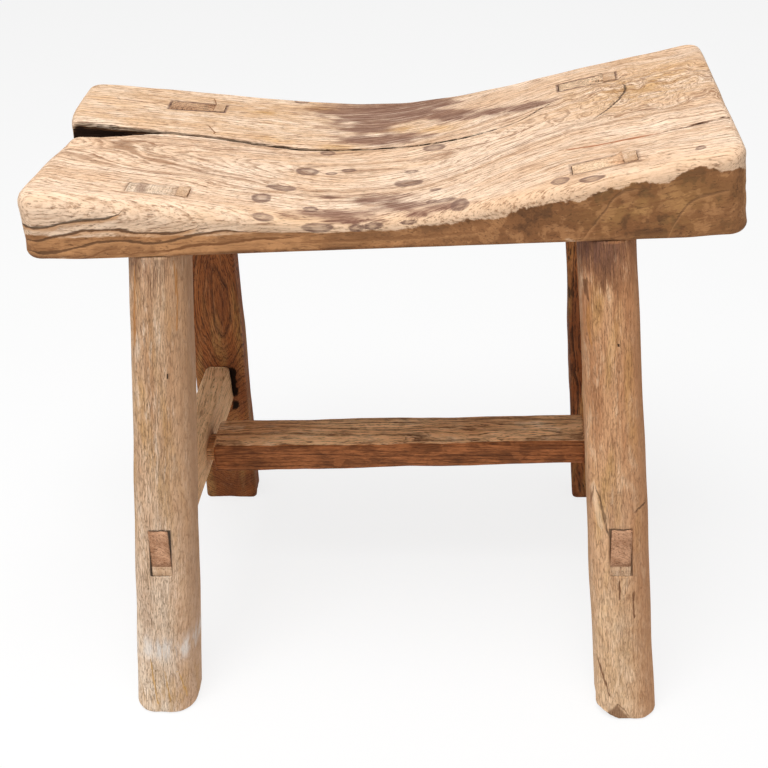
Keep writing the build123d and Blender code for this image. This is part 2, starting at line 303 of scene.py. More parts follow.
def leg_axes(s, corner):
    """A leg's directions: along the seat, across the seat, and up the leg."""
    foot, top = leg_line(s, corner)
    up = unit(top - foot)
    along = unit(np.array([1.0, 0, 0]) - up[0] * up)
    return along, np.cross(up, along), up


def leg_at(s, corner, z):
    """Point of a leg's axis at a height."""
    foot, top = leg_line(s, corner)
    return foot + (top - foot) * (np.asarray(z) / top[2])[..., None]


def leg_face_y(s, corner, offset, x, z):
    """Y of the plane parallel to a leg's inner face, offset outwards from its axis."""
    foot, _ = leg_line(s, corner)
    _, normal, _ = leg_axes(s, corner)
    normal = normal * CORNERS[corner][1]
    return foot[1] + (offset - normal[0] * (x - foot[0]) - normal[2] * z) / normal[1]


def side_line(s, side):
    """Centre of a side stretcher at the stool's middle, and its change of X along Y."""
    z = SIDE_TOP_HEIGHTS[side] - s.side_height / 2
    front = leg_at(s, f"front_{side}", z)
    rear = leg_at(s, f"rear_{side}", z)
    slope = (rear[0] - front[0]) / (rear[1] - front[1])
    return np.array([front[0] - slope * front[1], 0.0, z]), slope


# ---- seat


def millimetres(*rows):
    """A table given in millimetres, in metres."""
    return np.array(rows) * MM


# X, Y and width of the split and of the check; X and Y of the gouge
SPLIT = millimetres(
    (-260, 11, 30), (-250, 11, 29), (-240, 11.7, 27), (-230, 13, 23.5), (-215, 14.2, 17),
    (-202, 15, 12.5), (-190, 16.2, 8.6), (-178, 17.2, 5.6), (-160, 17, 4.6), (-132, 15, 4.0),
    (-105, 11, 3.8), (-76, 8, 3.6), (-45, 9, 2.8), (-5, 13, 2.2), (34, 12, 1.9), (65, 13, 1.7),
    (89, 19, 1.5), (105, 26, 1.2), (119, 39, 0.8), (131, 49, 0),
)
CHECK = millimetres(
    (138, -54, 0), (167, -57, 0.7), (188, -58.5, 1), (208, -60, 1.4), (230, -58.5, 1.9),
    (260, -57.5, 3),
)
GOUGE = millimetres((189, 61), (181, 43), (172, 25), (164, 8), (158, -5))

# X, Y, half length and half width of ovals; a spot has its strength as well, and stays in
# millimetres
SPOTS = (
    (-79, 112, 7, 5, 0.8), (-57, -36, 8, 6, 0.9), (-39, -38, 5, 3, 0.6), (-27, -32, 6, 3, 0.7),
    (-46, 2, 6, 4, 0.7), (-74, -70, 10, 5, 1), (-85, -90, 7, 7, 0.9), (-81, -123, 7, 7, 0.8),
    (-43, -135, 11, 7, 1.1), (-48, -104, 6, 5, 0.8), (-15, -135, 5, 6, 0.9), (-3, -132, 7, 6, 0.8),
    (38, 2, 9, 6, 0.9), (19, -60, 11, 6, 0.8), (41, -79, 5, 3, 0.8), (38, -98, 4, 3, 0.9),
    (59, -113, 7, 11, 0.8), (48, -100, 8, 4, 0.7), (22, -131, 7, 4, 0.7), (22, -41, 5, 3, 0.5),
    (128, -107, 6, 6, 0.8), (150, -115, 9, 5, 1), (224, -102, 4, 4, 0.7), (176, -92, 5, 5, 0.4),
)
REAR_STAINS = millimetres(
    (-6, 92, 54, 30), (38, 104, 20, 14), (49, 69, 24, 14), (82, 58, 22, 9),
    (108, 54, 20, 8), (64, 117, 17, 4), (-2, 29, 38, 10), (-22, 56, 28, 13),
)
FRONT_STAINS = millimetres(
    (-30, -113, 38, 10), (-4, -87, 24, 9), (17, -99, 22, 11), (50, -112, 17, 8),
    (-38, -82, 9, 4), (-15, -124, 22, 6), (30, -118, 14, 7),
)
YELLOW_SPOTS = millimetres((-105, 78), (-61, 98), (9, 50), (41, 42), (-88, 24), (-40, 14))

# Y and how far the board's left end is worn back there
FRONT_END = millimetres((-119, 0), (-100, 0.4), (-68, 3.2), (-20, 9), (9, 14.5))
REAR_END = millimetres((11, 11), (22, 8), (32, 4.5), (45, 1.5), (60, 0), (119, 0))

# X and depth below the top edge at which the front face's brown wood begins
BROWN_DEPTH = millimetres(
    (-260, 33), (-230, 32), (-200, 29), (-160, 25), (-126, 20), (-100, 17), (-81, 14.5),
    (-62, 12), (-46, 11.5), (-17, 11), (17, 10), (78, 10), (90, 12), (128, 10), (150, 11),
    (176, 9), (204, 11), (222, 8), (236, 13), (260, 14),
)

# X, Y and Z of the tree's heart, and how steeply the rings cross the front face
HEART = millimetres(
    (-260, -20, 400), (40, -20, 400), (100, 4, 405), (131, 14, 411), (190, 18, 424), (260, 12, 438)
)
FACE_SLOPE = 2.1

# X and rounding of the split's edges
SPLIT_ROUND = millimetres((-260, 3.5), (-200, 2), (-120, 0.9), (131, 0.5))
GOUGE_WIDTH, GOUGE_DEPTH = 1.6 * MM, 0.8 * MM
WORN_DEPTH, TOP_MARGIN = 0.5 * MM, 0.2 * MM

COLUMN_STEPS = (6, 34, 22, 130, 3, 22, 34, 6)
ROW_STEPS = (7, 5, 8, 12, 1, 38, 1, 28, 8, 11, 7)
COLUMN_KNOTS = np.concatenate([[0], np.cumsum(COLUMN_STEPS)])
ROW_KNOTS = np.concatenate([[0], np.cumsum(ROW_STEPS)])
WALL_LEVELS = 16


def mortise_middles(s, x, along, top):
    """Y of the front (-1) or rear (1) mortises' middle line at each X."""
    middles = []
    for corner in [name for name, place in CORNERS.items() if place[1] == along]:
        z = saddle(s, x) if top else np.full(np.shape(x), leg_line(s, corner)[1][2])
        middles.append(leg_at(s, corner, z)[..., 1])
    return middles[0] + (middles[1] - middles[0]) * smooth(x, -0.1, 0.1)


def plan_ends(s, y, top):
    """X of the board's left and right ends at each Y: the front plank's end curves back to the
    split, the rear plank's is broken away beside it, and the four corners are rounded."""
    half, edge, corner = s.seat_length / 2, s.seat_depth / 2, s.corner_round
    past = np.clip(np.abs(y) - (edge - corner), 0, corner)
    rounding = corner - np.sqrt(corner**2 - past**2)
    front = y < SPLIT[0, 1]
    worn = np.where(
        front,
        through(y, FRONT_END[:, 0], FRONT_END[:, 1]),
        through(y, REAR_END[:, 0], REAR_END[:, 1]) * (1 if top else 0.7),
    )
    left = -half + np.maximum(worn, 0) + rounding
    right = half - rounding - (s.right_batter if top else 0.3 * MM)
    return left, right


def rim_radius(s, x, y, top):
    """Radius of the board's edge: larger round the worn front left corner, and below at the
    two ends."""
    if top:
        left = 1 - smooth(x, -0.2, -0.06)
        front = 1 - smooth(y, -0.02, 0.02)
        return s.rim_round * (1 + 0.55 * left * front + 0.15 * front)
    return s.bottom_round * (1 + 1.1 * smooth(np.abs(x), 0.215, 0.245))


def seat_plan(s, top):
    """X and Y of one sheet of the seat, rows across it by columns along it. Rows keep to the
    mortises, the split and the check; columns to the mortises and the board's ends."""
    half, edge = s.seat_length / 2, s.seat_depth / 2
    open_x, open_y = s.mortise_length / 2 + s.joint_gap, s.mortise_width / 2 + s.joint_gap
    columns = grid_lines(COLUMN_STEPS, {0: -1, 7: 1})
    rows = grid_lines(ROW_STEPS, {0: -1, 3: 1, 5: 0, 7: -1, 10: 1})

    middles = {}
    for corner in CORNERS:
        axis_x = leg_line(s, corner)[1][0]
        z = saddle(s, axis_x) if top else leg_line(s, corner)[1][2]
        middles[corner] = leg_at(s, corner, z)[0]
    pairs = [
        (middles[f"front_{side}"] + shift, middles[f"rear_{side}"] + shift)
        for side in SIDES
        for shift in (-open_x, open_x)
    ]
    tip = SPLIT[-1, 0]
    rim = s.rim_round if top else s.bottom_round
    between = [np.mean(pair) for pair in pairs]
    base_knots = [-half, -half + rim, *between[:2], tip, *between[2:], half - rim, half]
    base_x = spread(base_knots, columns)
    front_rim = rim_radius(s, base_x, -edge, top)
    rear_rim = rim_radius(s, base_x, edge, top)

    seed = 31 if top else 32
    line = np.stack([base_x, np.zeros_like(base_x), np.zeros_like(base_x)], axis=-1)
    jag = (ripple(line, 0.03, seed) * 0.3 + ripple(line, 0.011, seed + 1) * 0.15) * MM
    split_y = through(base_x, SPLIT[:, 0], SPLIT[:, 1]) + jag * smooth(tip - base_x, 0, 0.02)
    torn = 0.22 * MM * ripple(line, 0.012, seed + 2) * smooth(tip - base_x, 0.01, 0.05)
    split_half = np.interp(base_x, SPLIT[:, 0], SPLIT[:, 2]) / 2 + torn
    check_y = np.interp(base_x, CHECK[:, 0], CHECK[:, 1]) + jag
    check_half = np.interp(base_x, CHECK[:, 0], CHECK[:, 2]) / 2
    front = mortise_middles(s, base_x, -1, top)
    rear = mortise_middles(s, base_x, 1, top)
    y_knots = [-edge, -edge + front_rim, front - open_y, front + open_y]
    y_knots += [check_y - check_half, check_y + check_half]
    y_knots += [split_y - split_half, split_y + split_half]
    y_knots += [rear - open_y, rear + open_y, edge - rear_rim, edge]
    y = spread(y_knots, rows)
    left, right = plan_ends(s, y, top)
    share = np.clip((y - front) / (rear - front), 0, 1)
    inner = [a + (b - a) * share for a, b in pairs]
    left_rim = rim_radius(s, left, y, top)
    right_rim = rim_radius(s, right, y, top)
    x_knots = [left, left + left_rim, inner[0], inner[1], np.full_like(y, tip)]
    x_knots += [inner[2], inner[3], right - right_rim, right]
    numbers, shares = columns
    x_knots = np.stack(x_knots)
    row, column = np.indices(y.shape)
    low, high = x_knots[numbers[None], row, column], x_knots[numbers[None] + 1, row, column]
    x = low * (1 - shares) + high * shares
    return x, y, split_y, split_half


def rim_distance(s, x, y, top):
    """Distance inwards from the board's outline in plan."""
    edge, corner = s.seat_depth / 2, s.corner_round
    left, right = plan_ends(s, np.clip(y, -edge + corner, edge - corner), top)
    to_side = edge - np.abs(y)
    to_end = np.minimum(x - left, right - x)
    in_corner = (to_side < corner) & (to_end < corner)
    rounded = corner - np.hypot(corner - to_side, corner - to_end)
    return np.maximum(np.where(in_corner, rounded, np.minimum(to_side, to_end)), 0)


def quarter_drop(distance, radius):
    """How far a rounded edge lies below the face at a distance from its outline."""
    return radius - np.sqrt(np.maximum(radius**2 - (radius - np.clip(distance, 0, radius)) ** 2, 0))


def heart_distance(points):
    """Distance in Y and Z from the tree's heart, which lies under the board and bends to the
    rear and up at its right end, with the way round it and slow ripples."""
    x, y, z = points.T
    dy = y - through(x, HEART[:, 0], HEART[:, 1])
    dz = z - through(x, HEART[:, 0], HEART[:, 2])
    radial = np.hypot(dy, dz)
    radial += ripple(points, (0.25, 0.06, 0.06), 11) * 0.8 * MM
    radial += ripple(points, (0.05, 0.014, 0.014), 12) * 0.35 * MM
    return radial, np.arctan2(dy, dz) * 0.06


def seat_grain(points):
    """Along the board, distance from the heart, and the way round it. The burl at the right
    end curls the rings."""
    x, y, _ = points.T
    radial, around = heart_distance(points)
    burl = bump(np.hypot((x - 0.204) / 1.2, y - 0.03), 0.055)
    radial += burl * (4 * ripple(points, 0.035, 13) + 2 * ripple(points, 0.015, 14)) * MM
    return np.stack([x, radial, around], axis=-1)


def face_plan(s, points):
    """Y of each point; the front face and its rounded edge continue the plan downwards."""
    x, y, z = points.T
    drop = np.maximum(saddle(s, x) - z, 0)
    return y - np.where(y < -s.seat_depth / 2 + 16 * MM, drop * FACE_SLOPE, 0)


def blots(x, v, table, cloud):
    """Union of soft ovals (x, v, half length, half width): a half at their edges."""
    best = np.zeros_like(x)
    for cx, cv, long, wide in table:
        reach = np.hypot((x - cx) / long, (v - cv) / wide) + 0.22 * cloud
        best = np.maximum(best, np.clip(1.25 - 0.75 * reach, 0, 1))
    return best


def seat_marks(s, points, top_side):
    """Marks of wear laid out in plan, as smooth fields that the wood's noise makes ragged:
    stain, spots (one at their middle, a half at their rim), worn paleness and darkness."""
    x, y, z = points.T
    v = face_plan(s, points)
    cloud = ripple(points, (0.03, 0.02, 0.02), 21) * 0.6
    cloud += ripple(points, (0.014, 0.008, 0.01), 22) * 0.4
    rear, front = blots(x, v, REAR_STAINS, cloud), blots(x, v, FRONT_STAINS, cloud)
    stain = np.maximum(rear, 0.82 * front)
    spot = np.zeros_like(x)
    for cx, cy, long, wide, strength in SPOTS:
        reach = np.hypot((x / MM - cx) / long, (v / MM - cy) / wide) + 0.12 * cloud
        spot = np.maximum(spot, np.clip(1 - reach / 2, 0, 1) * (0.75 + 0.25 * strength))
    drop = np.maximum(saddle(s, x) - z, 0)
    rim = bump(rim_distance(s, x, y, True), 5 * MM) * bump(drop, 7 * MM)
    pale = np.clip(0.15 * cloud - 0.1 * rim, 0, 1)
    split, width = (np.interp(x, SPLIT[:, 0], SPLIT[:, k]) for k in (1, 2))
    beside = (x < SPLIT[-1, 0]) * (y > split)
    dark = 0.5 * bump(np.maximum(y - split - width / 2, 0), 1.5 * MM) * beside
    marks = np.stack([np.clip(stain, 0, 1), spot, pale, dark], axis=-1)
    return marks * np.where(top_side, 1.0, 0.0)[:, None]


def seat_tones(s, points, top_side):
    """Broad tones of the board: brown unworn wood, a half at its ragged edge on the front
    face; yellow places; the mottled burl; and how dark the brown is."""
    x, y, z = points.T
    v = face_plan(s, points)
    drop = np.maximum(saddle(s, x) - z, 0)
    line = np.interp(x, BROWN_DEPTH[:, 0], BROWN_DEPTH[:, 1])
    depth = drop - 0.6 * (y + s.seat_depth / 2)
    front = y < -s.seat_depth / 2 + 14 * MM
    on_front = np.clip(0.5 + (depth - line) / (10 * MM), 0, 1)
    brown = np.where(front, on_front, smooth(drop, 8 * MM, 20 * MM))
    yellow = np.zeros_like(x)
    for cx, cy in YELLOW_SPOTS:
        yellow = np.maximum(yellow, bump(np.hypot((x - cx) / 2.2, v - cy), 8 * MM))
    rim = bump(rim_distance(s, x, y, True), 6 * MM) * (v < -0.08) * bump(drop, 9 * MM)
    yellow = np.maximum(yellow, rim * (0.35 + 0.4 * bump(x + 0.01, 0.1)))
    rear = smooth(y, 0.012, 0.03) * (1 - smooth(x, -0.09, 0.02))
    yellow = np.maximum(yellow, 0.35 * rear)
    burl = bump(np.hypot((x - 0.2) / 1.3, y - 0.045), 0.045) * top_side
    burl = np.maximum(burl, front * 0.5 * bump(np.hypot((x - 0.19) / 2.2, z - 0.44), 0.022))
    shade = 0.12 + 0.88 * smooth(x, -0.08, 0.16) - 0.3 * smooth(x, 0.205, 0.25)
    brown = np.where(top_side, brown, 0.75)
    at_end = np.abs(x) > s.seat_length / 2 - 10 * MM
    shade = np.where(at_end & (np.abs(y) < s.seat_depth / 2 - 6 * MM), 0.05, shade)
    return np.stack([brown, yellow, burl, np.where(top_side, shade, 0.6)], axis=-1)


def make_seat(s, material):
    """The board as two sheets of one grid with real holes, the top one at the saddle's height
    less the rounding of its rim and of the split, the lower one flat, and walls between their
    borders. Outer walls are dented, those in the split torn."""
    plans = [seat_plan(s, True), seat_plan(s, False)]
    rows, columns = plans[0][0].shape
    ids = np.arange(rows * columns).reshape(rows, columns)
    split_row, check_row = ROW_KNOTS[6], ROW_KNOTS[4]
    split_tip, check_tip = COLUMN_KNOTS[4], COLUMN_KNOTS[5]
    ids[split_row + 1, split_tip:] = ids[split_row, split_tip:]
    ids[check_row + 1, : check_tip + 1] = ids[check_row, : check_tip + 1]
    keep = np.ones((rows - 1, columns - 1), bool)
    keep[[split_row, check_row]] = False
    for r in (2, 8):
        for c in (2, 5):
            keep[ROW_KNOTS[r] : ROW_KNOTS[r + 1], COLUMN_KNOTS[c] : COLUMN_KNOTS[c + 1]] = False

    sheets = []
    for (x, y, split_y, split_half), top in zip(plans, (True, False)):
        flat = np.stack([x, y, np.zeros_like(x)], axis=-1)
        rim = rim_radius(s, x, y, top) * (1 + 0.06 * ripple(flat, 0.05, 41))
        drop = quarter_drop(rim_distance(s, x, y, top), rim)
        away = np.maximum(np.abs(y - split_y) - split_half, 0)
        soft = np.interp(x, *SPLIT_ROUND.T) * np.where(y < split_y, 1.6, 0.7)
        drop = drop + quarter_drop(away, soft) * (x < SPLIT[-1, 0]) * (1 if top else 0.4)
        if top:
            low = bump(line_distance(x, y, GOUGE), GOUGE_WIDTH) * GOUGE_DEPTH
            wave = ripple(flat, (0.09, 0.03, 0.05), 42) * 0.3 * MM
            wave += ripple(flat, (0.03, 0.012, 0.02), 43) * 0.1 * MM
            inside = smooth(rim_distance(s, x, y, top), 0, 0.012)
            z = saddle(s, x) - drop - low + (wave - WORN_DEPTH) * inside
            z = np.minimum(z, CAD_BOX[1][2] - TOP_MARGIN)
        else:
            wave = ripple(flat, (0.08, 0.03, 0.05), 44) * 0.25 * MM
            inside = smooth(rim_distance(s, x, y, top), 0, 0.01)
            z = underside(s, x) + drop + np.abs(wave) * inside
        sheets.append(np.stack([x, y, z], axis=-1).reshape(-1, 3))

    count = rows * columns
    top_quads = grid_quads(ids)[keep]
    low_quads = top_quads[:, ::-1] + count
    edges = border_edges(top_quads)
    border = np.unique(edges)
    position = np.full(count, -1)
    position[border] = np.arange(len(border))
    upper, lower = sheets[0][border], sheets[1][border]
    share = np.linspace(0, 1, WALL_LEVELS + 1)[1:-1, None, None]
    walls = upper + (lower - upper) * share
    row, column = np.divmod(border, columns)
    outer = (row == 0) | (row == rows - 1) | (column == 0) | (column == columns - 1)
    in_split = np.isin(row, (split_row, split_row + 1, check_row, check_row + 1))
    fade = np.sin(np.pi * share[..., 0]) ** 0.6
    inward = np.stack([-np.sign(upper[:, 0]), np.zeros(len(border))], axis=-1)
    on_side = np.abs(upper[:, 1]) > s.seat_depth / 2 - 1 * MM
    inward[on_side] = np.stack([np.zeros(on_side.sum()), -np.sign(upper[on_side, 1])], axis=-1)
    dent = np.clip(ripple(walls, (0.08, 0.08, 0.016), 51) * 0.3 + 0.4, 0, 1.4) * MM
    dent += np.clip(ripple(walls, (0.03, 0.008, 0.004), 52) * 0.12, 0, 0.3) * MM
    walls[..., :2] += (dent * fade * outer)[..., None] * inward
    side = np.where(np.isin(row, (split_row, check_row)), -1, 1) * (in_split & ~outer)
    torn = np.clip(ripple(walls, (0.02, 0.01, 0.008), 53) * 0.5, -0.8, 0.8) * MM
    walls[..., 1] += torn * fade * side

    fresh = 2 * count + np.arange(walls[..., 0].size).reshape(-1, len(border))
    levels = np.concatenate([border[None], fresh, border[None] + count])
    p, q = position[edges[:, 0]], position[edges[:, 1]]
    wall_quads = np.stack([levels[:-1, q], levels[:-1, p], levels[1:, p], levels[1:, q]], axis=-1)
    points = np.concatenate(sheets + [walls.reshape(-1, 3)])
    quads = np.concatenate([top_quads, low_quads, wall_quads.reshape(-1, 4)])

    on_wall = np.tile(outer, walls.shape[0])
    top_side = np.concatenate([np.ones(count, bool), np.zeros(count, bool), on_wall])
    marks = seat_marks(s, points, top_side)
    # Painted shade: the walls of the split, the check and the mortises are painted dark, wholly so
    # from a quarter of their depth down.
    painted_wall_shade = ~outer * (0.6 + 0.4 * smooth(share[..., 0], 0, 0.25))
    marks[2 * count :, 3] = np.maximum(marks[2 * count :, 3], painted_wall_shade.ravel())
    tones = seat_tones(s, points, top_side)
    fields = {"grain": seat_grain(points), "marks": marks, "tones": tones}
    names = ("seat_board", material, "seat_wood", "seat")
    return add_piece(*names, points, quads, np.zeros((0, 3), int), fields)


# ---- legs

LEG_STEPS = (5, 31, 5, 5, 31, 5)
LEG_COLUMNS = sum(LEG_STEPS)
BELOW_ROWS, HOLE_ROWS, ABOVE_ROWS = 60, 20, 100
LEG_CAP_STEPS = 5
TENON_STEPS = (18, 5, 18)
# Height above the seat's underside and how much the wedge takes off the tenon there
WEDGE_CUT = millimetres((6, 3), (62, 11))
CHIP_HEIGHT = 7 * MM
# Heart across and outward from the axis, bow, height of the bow's middle, and seed
PITH = {
    "front_left": (0.004, 0.030, 0.03, 0.22, 61),
    "front_right": (-0.006, 0.036, 0.02, 0.20, 62),
    "rear_left": (0.006, -0.012, 2.4, 0.262, 63),
    "rear_right": (0.006, 0.044, 0.08, 0.24, 64),
}


def d_section(width, depth, outer_round, inner_round, arc):
    """Points (across, outward) of a D section, flat inside and rounded outside, at arc lengths
    from the middle of its outer face; past half way round it is mirrored."""
    outer_flat, inner_flat = width / 2 - outer_round, width / 2 - inner_round
    side = depth - outer_round - inner_round
    outer_arc, inner_arc = outer_round * np.pi / 2, inner_round * np.pi / 2
    half_way = outer_flat + outer_arc + side + inner_arc + inner_flat
    arc = arc % (2 * half_way)
    mirrored = arc > half_way
    arc = np.where(mirrored, 2 * half_way - arc, arc)
    on_outer = arc - outer_flat
    on_side = on_outer - outer_arc
    on_inner = on_side - side
    on_back = on_inner - inner_arc
    outer_turn, inner_turn = on_outer / outer_round, on_inner / inner_round
    cases = [on_outer < 0, on_side < 0, on_inner < 0, on_back < 0]
    across = [
        arc,
        outer_flat + outer_round * np.sin(outer_turn),
        width / 2 + 0 * arc,
        inner_flat + inner_round * np.cos(inner_turn),
    ]
    outward = [
        depth / 2 + 0 * arc,
        depth / 2 - outer_round * (1 - np.cos(outer_turn)),
        depth / 2 - outer_round - on_side,
        inner_round * (1 - np.sin(inner_turn)) - depth / 2,
    ]
    across = np.select(cases, across, inner_flat - on_back)
    outward = np.select(cases, outward, -depth / 2)
    return np.where(mirrored, -across, across), outward, half_way


def leg_grain(s, corner, points):
    """Along the leg, distance from its own heart outside the section, bowed so that the flat
    face cuts long ovals, and the way round it."""
    a, b, c = ((points - leg_line(s, corner)[0]) @ np.stack(leg_axes(s, corner)).T).T
    b = b * CORNERS[corner][1]
    shift, reach, bow, height, seed = PITH[corner]
    local = np.stack([a, b, c], axis=-1)
    radial = np.hypot(a - shift, b - reach) + bow * (c - height) ** 2
    radial += ripple(local, (0.02, 0.02, 0.12), seed) * 0.8 * MM
    radial += ripple(local, (0.006, 0.006, 0.04), seed + 9) * 0.15 * MM
    return np.stack([c, radial, np.arctan2(a - shift, reach - b) * 0.03], axis=-1)


def leg_marks(s, corner, points, wall_start):
    """Marks of a leg: a painted shadow of the seat just under it, in the stain's colour; on the
    front legs a pale foot, part wear and part painted light below that shadow; a worn pale
    tenon end; painted shade on the mortise's walls; and on the rear left leg a painted shadow
    in the gap beside the side stretcher."""
    foot, top = leg_line(s, corner)
    z = points[:, 2]
    cloud = ripple(points, (0.03, 0.03, 0.06), 71) * 0.5
    # Painted shadow of the seat: the stain mark darkens the top 60 mm of each leg.
    under = smooth(z, top[2] - 0.06, top[2]) * (0.75 if corner == "front_right" else 0.5)
    stain = np.clip(0.05 * cloud + under * (z < top[2]) - 0.05, 0, 1)
    # The front legs' feet are painted paler: part wear, part painted light below the seat's shadow.
    worn = (1.0 if corner == "front_left" else 0.8) * (CORNERS[corner][1] < 0)
    worn = worn * (1 - smooth(z + 0.02 * cloud, 0.02, 0.27))
    pale = np.clip(worn + smooth(z, top[2] + 0.008, top[2] + 0.012), 0, 1)
    dark = np.zeros_like(z)
    # Painted shade: the walls of the side stretcher's mortise are painted dark.
    dark[wall_start:] = 0.95
    # Painted shadow in the gap beside the side stretcher, on the rear left leg's inner face.
    if corner == "rear_left":
        across, _, up = leg_axes(s, corner)
        a, c = (points - foot) @ across, (points - foot) @ up
        ragged = a + ripple(points, 0.008, 76) * 0.7 * MM
        painted_gap_shadow = 1 - smooth(np.abs(ragged - 12 * MM), 2 * MM, 6 * MM)
        painted_gap_shadow *= 1 - smooth(np.abs(c - 0.157), 0.022, 0.034)
        painted_gap_shadow *= 1 - 0.7 * bump(c - 0.144, 4 * MM)
        inner = points[:, 1] < leg_at(s, corner, z)[:, 1]
        dark = np.maximum(dark, 0.95 * painted_gap_shadow * inner)
    return np.stack([stain, 0 * z, pale, dark], axis=-1)


def leg_tones(s, corner, points):
    """Broad tones of a leg: brown at its top, painted as the seat's shade, and orange streaks,
    more of them at its foot.
    """
    top_z = leg_line(s, corner)[1][2]
    z = points[:, 2]
    streak = np.clip(ripple(points, (0.012, 0.02, 0.12), 75) * 0.7, 0, 1)
    brown, strength = 0.25, 0.6
    if corner == "front_right":
        brown, strength = 0.6, 0.85
        streak = np.maximum(streak, 0.9 * (1 - smooth(z, 0.03, 0.2)))
    if corner == "front_left":
        streak = np.maximum(streak, 0.45 * (1 - smooth(z, 0.03, 0.06)))
    # Painted shade: the leg browns over its top 120 mm, under the seat.
    brown = brown * smooth(z, top_z - 0.12, top_z - 0.01) * (z < top_z + 0.004)
    return np.stack([brown, streak * strength, 0 * z, 0 * z + 0.2], axis=-1)


def leg_body(s, corner):
    """Level rings about a leg's axis from the floor to the seat, worn and rounded at the foot,
    and the first and last row of the side stretcher's mortise."""
    across, along = CORNERS[corner]
    side = "left" if across < 0 else "right"
    e1, e2, up = leg_axes(s, corner)
    top = leg_line(s, corner)[1]
    lateral, outward = -along * e1, along * e2
    hole_low = SIDE_TOP_HEIGHTS[side] - s.side_height - FIT
    hole_high = SIDE_TOP_HEIGHTS[side] + FIT
    foot_rows = s.foot_round * (1 - np.cos(np.linspace(0, np.pi / 2, 5)[:-1]))
    below = np.linspace(s.foot_round, hole_low, BELOW_ROWS + 1)
    within = np.linspace(hole_low, hole_high, HOLE_ROWS + 1)[1:]
    above = np.linspace(hole_high, top[2], ABOVE_ROWS + 1)[1:]
    z = np.concatenate([foot_rows, below, within, above])
    width = s.leg_foot_width + (s.leg_top_width - s.leg_foot_width) * z / top[2]
    width = width * LEG_WIDTH_SHARES[corner]
    depth = s.leg_depth + 0 * width
    rounds = (s.leg_outer_round, s.leg_inner_round)

    centre, slope = side_line(s, side)
    axis = leg_at(s, corner, z)
    shift = (centre[0] + slope * axis[:, 1] - axis[:, 0]) * -along
    past_hole = np.maximum(np.abs(z - (hole_low + hole_high) / 2) - s.side_height / 2, 0)
    shift = shift * bump(past_hole, 0.04)
    open_x = s.side_tenon_thickness / 2 + 0.15 * MM
    half = d_section(width, depth, *rounds, 0 * width)[2]
    knots = [shift, shift + open_x, half - shift - open_x, half - shift, half - shift + open_x]
    knots += [2 * half + shift - open_x, 2 * half + shift]
    arc = spread(knots, grid_lines(LEG_STEPS)).T[:, :LEG_COLUMNS]
    a, b, _ = d_section(width[:, None], depth[:, None], *rounds, arc)

    local = np.stack([a, b, z[:, None] + 0 * a], axis=-1)
    seed = PITH[corner][4] + 100
    wear = np.clip(ripple(local, (0.03, 0.03, 0.09), seed) * 0.35 + 0.5, 0, 1.4) * MM
    wear += np.clip(ripple(local, (0.009, 0.009, 0.05), seed + 1) * 0.12, -0.2, 0.2) * MM
    wear *= 1 - bump(z - top[2], 0.004)[:, None]
    shrink = 1 - (wear + quarter_drop(z, s.foot_round)[:, None]) / np.hypot(a, b)
    a, b = a * shrink, b * shrink
    level = -(a * lateral[2] + b * outward[2]) / up[2]
    rings = axis[:, None] + a[..., None] * lateral + b[..., None] * outward + level[..., None] * up
    tilt = smooth(z, hole_high + 0.02, top[2])[:, None]
    lift = (underside(s, rings[..., 0]) - underside(s, axis[:, :1])) * tilt
    first = len(foot_rows) + BELOW_ROWS
    return rings + (lift / up[2])[..., None] * up, (first, first + HOLE_ROWS)


def leg_tenon(s, corner):
    """Rings of the tenon that goes up through the seat and is cut to its wedge."""
    along = CORNERS[corner][1]
    e1, e2, up = leg_axes(s, corner)
    top = leg_line(s, corner)[1]
    section = grid_lines(TENON_STEPS)
    half_x, half_y = s.mortise_length / 2 - FIT, s.mortise_width / 2 - FIT
    right_a = spread([0, half_x, half_x, 0], section)
    right_b = spread([half_y, half_y, -half_y, -half_y], section)
    tenon_a = np.concatenate([right_a[:-1], -right_a[:0:-1]]) * -along
    tenon_b = np.concatenate([right_b[:-1], right_b[:0:-1]]) * along
    ceiling = saddle(s, top[0]) - s.tenon_recess
    rings = []
    for share in np.concatenate([[0, 0.006], np.linspace(0.0075, 1, 14)]):
        base = leg_at(s, corner, top[2] + share * (ceiling - top[2]))
        x = (base + tenon_a[:, None] * e1 + tenon_b[:, None] * e2)[:, 0]
        start, end = underside(s, x), saddle(s, x) - s.tenon_recess
        goal = start + (end - start) * share
        climbed = (goal - top[2]) / up[2]
        cut = np.interp(climbed, *WEDGE_CUT.T) * (climbed > WEDGE_CUT[0, 0])
        local_a = np.minimum(tenon_a, half_x - cut)
        point = leg_at(s, corner, goal) + local_a[:, None] * e1 + tenon_b[:, None] * e2
        rings.append(point + ((goal - point[:, 2]) / up[2])[:, None] * up)
    return np.stack(rings)


